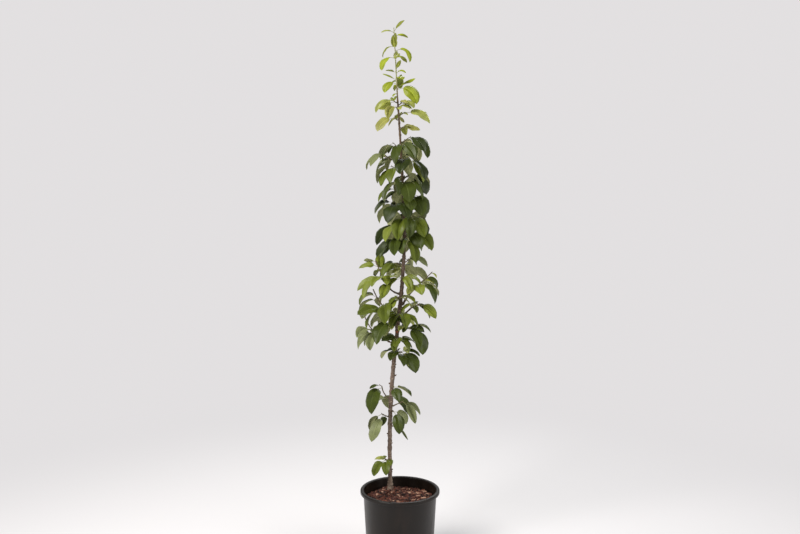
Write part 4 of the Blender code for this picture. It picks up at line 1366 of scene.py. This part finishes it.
normals = [vertex.normal.copy() for vertex in wood.data.vertices]
for vertex, normal in zip(wood.data.vertices, normals):
    x, y, z = vertex.co
    fibre = noise.noise(Vector((x * FIBRES[0], y * FIBRES[0], z * FIBRES[1])))
    knob = noise.noise(Vector((x * KNOBS[0], y * KNOBS[0], z * KNOBS[1])) + KNOBS_SHIFT)
    rise = RELIEF_DEPTH * (fibre * FIBRES[2] + knob * KNOBS[2])
    if abs(x - TRUNK_FOOT.x) < FLARE_REACH and z < FLARE_TOP:
        lobe = math.cos(FLARE_LOBES * math.atan2(y - TRUNK_FOOT.y, x - TRUNK_FOOT.x))
        rise += FLARE_GAIN * FLARE_LOBE_DEPTH * lobe * math.exp((TRUNK_FOOT.z - z) / FLARE_FALL)
    vertex.co += normal * rise
wood.data.update()
select_only(wood)
bpy.ops.object.shade_smooth()
print(f"relief of {1000 * RELIEF_DEPTH} mm")

# %% [markdown]
# ### Bark
#
# The old wood low on the trunk is grey, with pale upright patches painted on it as highlights, the
# middle is brown, and the last year's wood in the head is still olive. Pale lenticels, the pores of the
# bark, are short dashes across the limb, and old bud scars are broken pale rings. A fresh wound half way
# up is orange. The colour follows the height, and fine grain along the limb breaks it up.

# %% The bark's colour by height
BARK_LOW = (0.200, 0.138, 0.102)
BARK_MIDDLE = (0.142, 0.094, 0.069)
BARK_HIGH = (0.135, 0.088, 0.046)
MIDDLE_FROM = (0.34, 0.66)
HIGH_FROM = (0.95, 1.30)

bark = Finish("bark", Roughness=0.78)
height = bark.axis(bark.place(), "Z")
colour = bark.blend(BARK_LOW, BARK_MIDDLE, bark.ease(height, *MIDDLE_FROM))
colour = bark.blend(colour, BARK_HIGH, bark.ease(height, *HIGH_FROM))
print("brown from", MIDDLE_FROM, "m, olive from", HIGH_FROM, "m")

# %% Fibres, painted highlights and pores
# The bark's pale colour, for the pores and bud scars, and for the painted highlights on the low trunk
BARK_PALE_AND_HIGHLIGHT = (0.400, 0.320, 0.245)
BARK_GROOVE = (0.030, 0.020, 0.014)
GROOVE_SHARE = 0.55
FIBRES_SEEN = (0.0035, 0.30, 0.66, 4.0, (1, 1, 0.16))
# Pale upright patches on the low trunk are painted highlights, and fade out higher up
PAINTED_HIGHLIGHTS = (0.012, 0.48, 0.70, 3.0, (1, 1, 0.5))
PAINTED_HIGHLIGHT_SHARE = 0.45
PAINTED_HIGHLIGHTS_END = (0.30, 0.80)
PORES = (0.0032, 0.69, 0.74, 0.0, (1, 1, 2.6))
PORE_SHARE = 0.60

fibre = bark.spots(*FIBRES_SEEN)
colour = bark.blend(bark.blend(colour, BARK_GROOVE, GROOVE_SHARE), colour, fibre)
# The painted highlights: pale upright patches on the low trunk, in the bark's pale colour
patches = bark.spots(*PAINTED_HIGHLIGHTS) * (1 - bark.ease(height, *PAINTED_HIGHLIGHTS_END))
colour = bark.blend(colour, BARK_PALE_AND_HIGHLIGHT, patches * PAINTED_HIGHLIGHT_SHARE)
pores = bark.spots(*PORES)
colour = bark.blend(colour, BARK_PALE_AND_HIGHLIGHT, pores * PORE_SHARE)
print(f"pores {1000 * PORES[0]} mm wide")

# %% Rings of old bud scars
RING_SPACING = 0.024
RING_WANDER = 1.2
WANDER_WIDTH = 0.030
RING_EDGE = (0.78, 0.94)
RING_BREAKS = (0.006, 0.42, 0.56, 1.0)
RING_SHARE = 0.75
RINGS_END = (0.55, 0.95)

ring = (height * (1 / RING_SPACING) + bark.grain(WANDER_WIDTH, 1.0) * RING_WANDER).fraction()
rings = bark.ease(abs(ring - 0.5) * 2, *RING_EDGE) * bark.spots(*RING_BREAKS)
colour = bark.blend(colour, BARK_PALE_AND_HIGHLIGHT, rings * (1 - bark.ease(height, *RINGS_END)) * RING_SHARE)
print(f"rings {1000 * RING_SPACING:.0f} mm apart")

# %% The fresh wound, and the finish
WOUND = (0.300, 0.085, 0.035)
WOUND_HEIGHT = 0.742
WOUND_HEADING = 262
WOUND_RADIUS = 0.009
WOUND_FRAY = 0.004
BARK_DEPTH = 0.0006
FIBRE_RISE = 0.7
PORE_RISE = 0.5

wound_spot = trunk_point(WOUND_HEIGHT) + aim(WOUND_HEADING, 0) * TRUNK_GIRTH[1][1]
away = bark.add(
    "ShaderNodeVectorMath", {"operation": "DISTANCE"}, {0: bark.place(), 1: wound_spot}, output="Value")
away = away + bark.grain(WOUND_FRAY) * (WOUND_RADIUS / 2)
colour = bark.blend(WOUND, colour, bark.ease(away, WOUND_RADIUS / 2, WOUND_RADIUS))
raised = fibre * FIBRE_RISE + pores * PORE_RISE
bark.feed(Base_Color=colour, Normal=bark.relief(raised, BARK_DEPTH))
finished(wood, bark, "bark", "trunk", *[bough.name for bough in BOUGHS])

# %% [markdown]
# ## Spurs and twigs
#
# The stems that carry the leaves are thin, and closely ringed but for the leader's. A bud sits at the
# foot of each leaf and one at the end. Four stems were pruned, and end in a blunt stub. Many hundred
# small shapes join into one piece for each zone.


# %% A heap of small shapes
class Heap:
    """Vertices and faces of many small shapes that become one piece."""

    def __init__(self):
        self.points, self.faces, self.shades = [], [], []

    def add(self, points, faces, shade=0):
        base = len(self.points)
        self.points += points
        self.faces += [[base + corner for corner in face] for face in faces]
        self.shades += shade if isinstance(shade, list) else [shade] * len(faces)

    def piece(self, name, finishes):
        mesh = bpy.data.meshes.new(name)
        mesh.from_pydata(self.points, [], self.faces)
        for finish in finishes:
            mesh.materials.append(finish)
        mesh.polygons.foreach_set("material_index", self.shades)
        mesh.shade_smooth()
        obj = bpy.data.objects.new(name, mesh)
        bpy.context.collection.objects.link(obj)
        return obj


print("a heap becomes one piece")

# %% Buds and rings
# Length and radius of a bud, and (share of its length, share of its radius) along it
TIP_BUD = (0.0055, 0.0017)
SIDE_BUD = (0.0038, 0.0013)
BUD_SHAPE = ((0.0, 0.55), (0.25, 1.0), (0.6, 0.8), (0.85, 0.35))
RING_SWELL = 0.14


def bud(root, forward, size):
    """A pointed bud as a small limb."""
    length, radius = size
    points = [root + forward * (length * share) for share, _ in BUD_SHAPE]
    radii = [radius * swell for _, swell in BUD_SHAPE]
    return loft(limb_rings((points, radii)), root + forward * length)


def ringed(limb):
    """A stem with the close rings of a slow spur."""
    points, radii = limb
    return points, [radius * (1 + RING_SWELL * (k % 2)) for k, radius in enumerate(radii)]


print(f"buds {1000 * SIDE_BUD[0]} and {1000 * TIP_BUD[0]} mm long")

# %% Build the twigs
TWIG_SIDES = 8
TWIG_COLLAR = 0.35
TWIG_DRAW_STEP = 0.003
PRUNED = ("left_high", "left_middle", "left_low", "lower_left_high")
PRUNED_RADIUS = 0.0019
BUD_SINK = 0.001
SIDE_BUD_LIFT = 0.0012
SIDE_BUD_RISE = Vector((0, 0, 1.2))


def end_bud(limb, size):
    """A bud on the tip of a limb, sunk a little into it."""
    root, forward = along(limb[0], 1.0)
    return bud(root - forward * BUD_SINK, forward, size)


heaps = {zone: Heap() for zone in HABITS}
for mass in masses:
    heap = heaps[mass.zone]
    stem = refined(mass.stem, TWIG_DRAW_STEP)
    if mass.zone != "leader":
        stem = ringed(stem)
    if mass.name in PRUNED:
        stem = stem[0], [max(radius, PRUNED_RADIUS) for radius in stem[1]]
    heap.add(*loft(limb_rings(rooted(stem, ROOT_DEPTH, TWIG_COLLAR), 0.0, TWIG_SIDES)))
    if mass.name not in PRUNED:
        heap.add(*end_bud(mass.stem, TIP_BUD))
    for twig in mass.twigs:
        heap.add(*loft(limb_rings(refined(twig, TWIG_DRAW_STEP), 0.0, TWIG_SIDES)))
        heap.add(*end_bud(twig, SIDE_BUD))
    for leaf in mass.leaves:
        out = (aim(leaf.heading, leaf.lift) + SIDE_BUD_RISE).normalized()
        heap.add(*bud(leaf.root + out * SIDE_BUD_LIFT, out, SIDE_BUD))
print({zone: len(heap.faces) for zone, heap in heaps.items()})

# %% Finish the twigs
# Two colours of each zone's young wood. The leader's go from the first to the second as it rises,
# because its tip is still green
WOODS = {
    "leader": ((0.230, 0.125, 0.070), (0.260, 0.270, 0.105)),
    "crest": ((0.110, 0.110, 0.034), (0.150, 0.105, 0.050)),
    "upper": ((0.085, 0.085, 0.032), (0.110, 0.070, 0.042)),
    "middle": ((0.130, 0.080, 0.042), (0.170, 0.150, 0.060)),
    "lower": ((0.110, 0.068, 0.044), (0.150, 0.130, 0.060)),
    "foot": ((0.150, 0.140, 0.070), (0.190, 0.150, 0.110)),
}
LEADER_GREEN_FROM = (1.46, 1.58)
WOOD_PATCHES = (0.008, 0.38, 0.66, 3.0)
WOOD_GRAIN = 0.0012
WOOD_DEPTH = 0.0003


def twig_finish(zone):
    """Young bark: a stem colour and a second one in soft patches or with the height, and fine grain."""
    finish = Finish(f"young_wood_{zone}", Roughness=0.62)
    first, second = WOODS[zone]
    share = finish.spots(*WOOD_PATCHES)
    if zone == "leader":
        share = finish.ease(finish.axis(finish.place(), "Z"), *LEADER_GREEN_FROM)
    finish.feed(
        Base_Color=finish.blend(first, second, share),
        Normal=finish.relief(finish.grain(WOOD_GRAIN), WOOD_DEPTH))
    return finish.material


def nodes_of(zone):
    return [f"foliage_{mass.name}" for mass in masses if mass.zone == zone]


for zone, heap in heaps.items():
    twigs = heap.piece(f"twigs_{zone}", [twig_finish(zone)])
    finished(twigs, None, "bark", *nodes_of(zone))

# %% [markdown]
# ## Leaves
#
# An apple leaf is oval with a point, folded a little along its midrib, with a wavy edge. The top is
# glossy and dark, the underside pale and matt. Each leaf gets eight-cornered sections: five places
# across its top and three more under it, so top and underside keep their own colours, and the thin
# blade has a closed skin. Each half of the blade bulges beside the sunk midrib, and curves down at
# its edge.

# %% The outline of a fine leaf
# Places of the sections along the blade, where a negative one is on the stalk
FINE_STATIONS = (-0.30, 0.0, 0.02, 0.07, 0.15, 0.26, 0.40, 0.56, 0.73, 0.89)
BASE_FULLNESS = 0.56
TIP_FULLNESS = 0.80
FINE_BELLY = BASE_FULLNESS / (BASE_FULLNESS + TIP_FULLNESS)
FINE_WIDTH_SHARE = 0.67


def fine_half_width(share, length):
    """Half the width of the blade: round at its base, widest near its middle, with a short point."""
    base = (share / FINE_BELLY) ** BASE_FULLNESS
    return base * ((1 - share) / (1 - FINE_BELLY)) ** TIP_FULLNESS * FINE_WIDTH_SHARE * length / 2


print(f"widest at {FINE_BELLY:.2f} of the blade")

# %% Sections of a fine leaf
# How a leaf bends. Roll, twist, fold and hang are in degrees. Bulge, drop and wave are shares of its
# half width, phase is where the wave starts, and sweep is a share of its length
Bend = namedtuple("Bend", "roll twist fold bulge drop wave phase sweep hang")
AROUND = 8
ROUND = [math.radians(360 / AROUND * k) for k in range(AROUND)]
ACROSS = 0.52
FINE_THICK = 0.0004
RIB_DEPTH = 0.0006
WAVES = 1.7
WAVE_SHIFT = 2
WAVE_INSIDE = 0.3


def fine_leaf(leaf, bend):
    """Sections of eight points from the leaf's left edge over its top and back under it, and its tip."""
    leaf = leaf._replace(droop=leaf.droop + bend.hang)
    shares = [(STALK_SHARE + blade) / (1 + STALK_SHARE) for blade in (*FINE_STATIONS, 1.0)]
    *sections, (tip, _) = leaf_line(leaf, shares)
    side = aim(leaf.heading + 90, 0)
    sweep = side * (bend.sweep * leaf.length)
    rings = []
    for blade, (point, forward) in zip(FINE_STATIONS, sections):
        turn = (leaf.roll + bend.roll) * min(1.0, 1 + blade / STALK_SHARE) + bend.twist * max(0.0, blade)
        roll = Matrix.Rotation(math.radians(turn), 3, forward)
        left, up = roll @ side, roll @ forward.cross(side)
        if blade <= 0:
            rings.append([point + (left * math.cos(a) + up * math.sin(a)) * STALK_RADIUS for a in ROUND])
            continue
        point = point + sweep * blade**2
        half = fine_half_width(blade, leaf.length)
        lean = half * math.sin(math.radians(bend.fold))
        width = half * math.cos(math.radians(bend.fold))
        edges, mids = [], []
        for way, shift in ((1, 0), (-1, WAVE_SHIFT)):
            ripple = half * bend.wave * math.sin(bend.phase + 2 * math.pi * WAVES * blade + shift)
            edges.append(point + left * (way * width) + up * (lean * (1 - bend.drop) + ripple))
            height = ACROSS * lean + bend.bulge * half + ripple * WAVE_INSIDE
            mids.append(point + left * (way * width * ACROSS) + up * height)
        thin = up * FINE_THICK
        rib = up * (FINE_THICK + RIB_DEPTH * (1 - blade))
        rings.append([
            edges[0], mids[0] + thin, point + thin, mids[1] + thin,
            edges[1], mids[1] - thin, point - rib, mids[0] - thin])
    return rings, tip + sweep


print(f"{len(FINE_STATIONS)} sections of {AROUND} points")

# %% The skin of a fine leaf
TOP, UNDER, STALK = 0, 1, 2
STALK_RINGS = sum(blade <= 0 for blade in FINE_STATIONS)


def leaf_skin(rings, tip):
    """A closed skin over the sections, with the part that each face belongs to.

    Each square is split along the same diagonal on the top and underneath, so they never cross.
    """
    points = [corner for ring in rings for corner in ring] + [tip]
    sides = [TOP if k < AROUND / 2 else UNDER for k in range(AROUND)]
    faces, parts = [list(range(AROUND - 1, -1, -1))], [STALK]
    for row, blade in enumerate(FINE_STATIONS[-len(rings):][1:]):
        for k, side in enumerate(sides):
            low, low_next = AROUND * row + k, AROUND * row + (k + 1) % AROUND
            high, high_next = low + AROUND, low_next + AROUND
            quarter = 4 * k // AROUND
            if quarter % 2 == 0:
                faces += [[low, low_next, high], [low_next, high_next, high]]
            else:
                faces += [[low, low_next, high_next], [low, high_next, high]]
            parts += [STALK if blade <= 0 else side] * 2
    end = AROUND * (len(rings) - 1)
    faces += [[end + k, end + (k + 1) % AROUND, len(points) - 1] for k in range(AROUND)]
    return points, faces, parts + sides


print(f"{STALK_RINGS} sections of the stalk, {len(FINE_STATIONS) - STALK_RINGS} of the blade")

# %% Turn a leaf to the light
LIGHT_FROM = Vector((-0.5, -1.0, 0.5)).normalized()
LIGHT_TURN = 58.0
LIGHT_STATION = 0.55


def roll_to_light(leaf):
    """Degrees that a leaf rolls on its stalk towards the light, fewer if it is rolled already."""
    _, forward = next(leaf_line(leaf, [LIGHT_STATION]))
    side = aim(leaf.heading + 90, 0)
    best = math.degrees(math.atan2(-LIGHT_FROM.dot(side), LIGHT_FROM.dot(forward.cross(side))))
    needed = (best - leaf.roll + 180) % 360 - 180
    return max(-LIGHT_TURN, min(LIGHT_TURN, needed)) * (1 - abs(leaf.roll) / 90)


print(f"leaves turn up to {LIGHT_TURN} degrees to the light")

# %% Bend a leaf
# Least, greatest and likeliest share of the whole turn to the light. The other pairs are the least
# and the greatest, and a young leaf hangs less than an old one
LIGHT_SHARES = (-0.7, 1.1, 0.75)
YOUNG_LIGHT_SHARES = (0.3, 1.0, 0.65)
YOUNG_ZONES = ("leader", "crest")
TWIST = 38.0
FOLDS = (6.0, 36.0)
OWN_FOLDS = {"lower_lone": (72.0, 76.0), "lower_right_high": (46.0, 54.0)}
BULGES = (0.08, 0.20)
EDGE_DROPS = (0.0, 1.1)
EDGE_WAVE = 0.14
WAVE_SHARES = (0.2, 1.0)
SWEEP = 0.13
HANG = (-14.0, 34.0)
YOUNG_HANG = 0.2
BEND_TRIES = 8

room = Space()
for name, limb in limbs.items():
    room.add(name, loft(limb_rings(limb)))


def bent_leaf(leaf, mass, rng):
    """The skin of a fine leaf, turned and bent as far as it stays clear of the others.

    A leaf that rises to its tip keeps its own turn, and only a hanging one turns to the light.
    """
    lit = roll_to_light(leaf) if leaf.droop < 0 else 0.0
    young = mass.zone in YOUNG_ZONES
    shares = YOUNG_LIGHT_SHARES if young else LIGHT_SHARES
    for attempt in range(BEND_TRIES):
        loose = 1 - attempt / BEND_TRIES
        bend = Bend(
            roll=lit * rng.triangular(*shares) * loose,
            twist=TWIST * rng.uniform(-1, 1) * loose,
            fold=rng.uniform(*OWN_FOLDS.get(mass.name, FOLDS)),
            bulge=rng.uniform(*BULGES),
            drop=rng.uniform(*EDGE_DROPS),
            wave=EDGE_WAVE * rng.uniform(*WAVE_SHARES),
            phase=rng.uniform(0, 2 * math.pi),
            sweep=SWEEP * rng.uniform(-1, 1) * loose,
            hang=rng.triangular(*HANG, 0.0) * loose * (YOUNG_HANG if young else 1.0))
        rings, tip = fine_leaf(leaf, bend)
        blade = leaf_skin(rings[STALK_RINGS:], tip)[:2]
        if inside_box(blade[0]) and room.clear(blade):
            break
    room.add("blade", blade)
    return leaf_skin(rings, tip)


print(f"leaves twist up to {TWIST} degrees and have {BEND_TRIES} tries")

# %% [markdown]
# ### Leaf greens
#
# The head's leaves are oldest and darkest, those in the middle are fresh, and the leader's are yellow
# green. Each colour is a material of its own, and every spray deals them out to its leaves, so a
# neighbour always differs a little. Veins run out from the midrib at a slant and are drawn on the
# leaf's own map, where the first axis goes across the blade and the second along it.

# %% A leaf's colours
GREENS = {
    "green_deep": (0.027, 0.040, 0.005),
    "green_dark": (0.051, 0.071, 0.007),
    "green_leaf": (0.100, 0.128, 0.012),
    "green_fresh": (0.180, 0.218, 0.024),
    "green_light": (0.325, 0.355, 0.080),
    "green_young": (0.265, 0.315, 0.018),
    "green_bronze": (0.290, 0.290, 0.070),
    "green_grey": (0.200, 0.225, 0.095),
    "under_dull": (0.215, 0.228, 0.105),
    "under_pale": (0.400, 0.418, 0.200),
    "under_young": (0.350, 0.380, 0.070),
    "stalk_green": (0.270, 0.265, 0.095),
}
print(len(GREENS), "greens")

# %% Draw the veins and the gloss
VEINS = 7.0
VEIN_SLANT = 0.30
RIB_EDGE = (0.03, 0.09)
VEIN_EDGE = (0.84, 1.0)
RIB_SHARE = 0.6
VEIN_SHARE = 0.18
VEIN_PALE = (1.6, 0.02)
LEAF_DARK = 0.76
MOTTLES = (0.030, 0.36, 0.60)
PUCKER_WIDTH = 0.006
PUCKER_SHARE = 0.5
GLOSS_WIDTH = 0.010
GLOSS_CHANGE = 0.14
LEAF_DEPTH = 0.0003
# Specular level and roughness of a top and of an underside
TOP_GLOSS = (0.24, 0.33)
UNDER_GLOSS = (0.15, 0.62)


def leaf_green(name, colour):
    """A leaf's colour with paler midrib and veins; a top is glossier than an underside."""
    under = name.startswith("under")
    specular, rough = UNDER_GLOSS if under else TOP_GLOSS
    finish = Finish(name, Specular_IOR_Level=specular)
    spot = finish.add("ShaderNodeUVMap", {"uv_map": "leaf"})
    side = abs(finish.axis(spot, "X") - 0.5) * 2
    along_blade = finish.axis(spot, "Y")
    rib = 1 - finish.ease(side, *RIB_EDGE)
    slanted = (along_blade - side * VEIN_SLANT) * VEINS
    veins = finish.ease(abs(slanted.fraction() - 0.5) * 2, *VEIN_EDGE)
    lines = rib * RIB_SHARE + veins * VEIN_SHARE
    mottled = finish.blend(shaded(colour, LEAF_DARK), colour, finish.spots(*MOTTLES))
    raised = lines * (1.0 if under else -1.0) + finish.grain(PUCKER_WIDTH, 1.0) * PUCKER_SHARE
    finish.feed(
        Base_Color=finish.blend(mottled, shaded(colour, *VEIN_PALE), lines),
        Roughness=rough + finish.grain(GLOSS_WIDTH) * GLOSS_CHANGE,
        Normal=finish.relief(raised, LEAF_DEPTH))
    return finish.material


greens = {name: leaf_green(name, colour) for name, colour in GREENS.items()}
print(len(greens), "leaf materials with", VEINS, "veins a side")

# %% Shares of the greens
# Shares of each green in a zone, and its underside
ZONE_GREENS = {
    "leader": ({"green_young": 8, "green_light": 2, "green_bronze": 1, "green_fresh": 0}, "under_young"),
    "crest": ({"green_light": 6, "green_bronze": 4, "green_leaf": 1, "green_fresh": 1}, "under_young"),
    "upper": ({"green_deep": 5, "green_dark": 5, "green_leaf": 4, "green_fresh": 2}, "under_pale"),
    "middle": (
        {"green_leaf": 3, "green_fresh": 4, "green_dark": 5, "green_grey": 1, "green_light": 4},
        "under_pale"),
    "lower": ({"green_dark": 4, "green_leaf": 3, "green_light": 2, "green_grey": 1}, "under_dull"),
    "foot": ({"green_light": 3, "green_leaf": 3, "green_dark": 2}, "under_pale"),
}
# Sprays that keep to one green, because their light or their age is their own
SPRAYS_OF_GREEN = {
    "green_dark": ("right_inner", "right_foot", "left_inner", "lower_left_high"),
    "green_leaf": ("left_middle", "front_low"),
    "green_fresh": ("left_high", "front_high"),
    "green_grey": ("shoulder_left", "left_low", "lower_left_low", "lower_right_high", "lower_lone"),
}
OWN_GREEN = {spray: green for green, sprays in SPRAYS_OF_GREEN.items() for spray in sprays}
print(len(OWN_GREEN), "sprays keep to one green")

# %% Build the leaves and deal out the greens
# A spray's own green and any other spray's favourite have these shares of its leaves. A leaf whose
# tip stands steeper than UPRIGHT has its zone's last green
OWN_SHARE = 0.85
FAVOURITE_SHARE = 0.45
UPRIGHT = 60.0
CREASE = 50.0
# Where each point of a section lies across the leaf's map
MAP_ACROSS = (0, 0.24, 0.5, 0.76, 1, 0.76, 0.5, 0.24)

leaf_spots = [(across, max(0.0, blade)) for blade in FINE_STATIONS for across in MAP_ACROSS] + [(0.5, 1.0)]
for zone, (shares, underside) in ZONE_GREENS.items():
    tops = list(shares)
    finishes = [greens[name] for name in (*tops, underside, "stalk_green")]
    heap, spots = Heap(), []
    for mass in masses:
        if mass.zone != zone:
            continue
        spray = random.Random(f"green {SEED} {mass.name}")
        favourite = OWN_GREEN.get(mass.name) or spray.choices(tops, shares.values())[0]
        keeping = OWN_SHARE if mass.name in OWN_GREEN else FAVOURITE_SHARE
        for leaf in mass.leaves:
            top = favourite if spray.random() < keeping else spray.choices(tops, shares.values())[0]
            if leaf.droop > UPRIGHT:
                top = tops[-1]
            part_shades = {TOP: tops.index(top), UNDER: len(tops), STALK: len(tops) + 1}
            points, faces, parts = bent_leaf(leaf, mass, spray)
            heap.add(points, faces, [part_shades[part] for part in parts])
            spots += [leaf_spots[corner] for face in faces for corner in face]
    leaves = heap.piece(f"leaves_{zone}", finishes)
    uv_map = leaves.data.uv_layers.new(name="leaf")
    uv_map.data.foreach_set("uv", np.array(spots).ravel())
    select_only(leaves)
    bpy.ops.object.shade_smooth_by_angle(angle=math.radians(CREASE))
    finished(leaves, None, f"leaf_{zone}", *nodes_of(zone))

# %% [markdown]
# ## The size
#
# The dressed tree has to fill the same box as the plain one, and both boxes are printed.

# %% Write the sizes and finish
visual_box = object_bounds()
for name, box in (("plain", cad_box), ("dressed", visual_box)):
    print(name, [round(part, 4) for corner in box for part in corner])
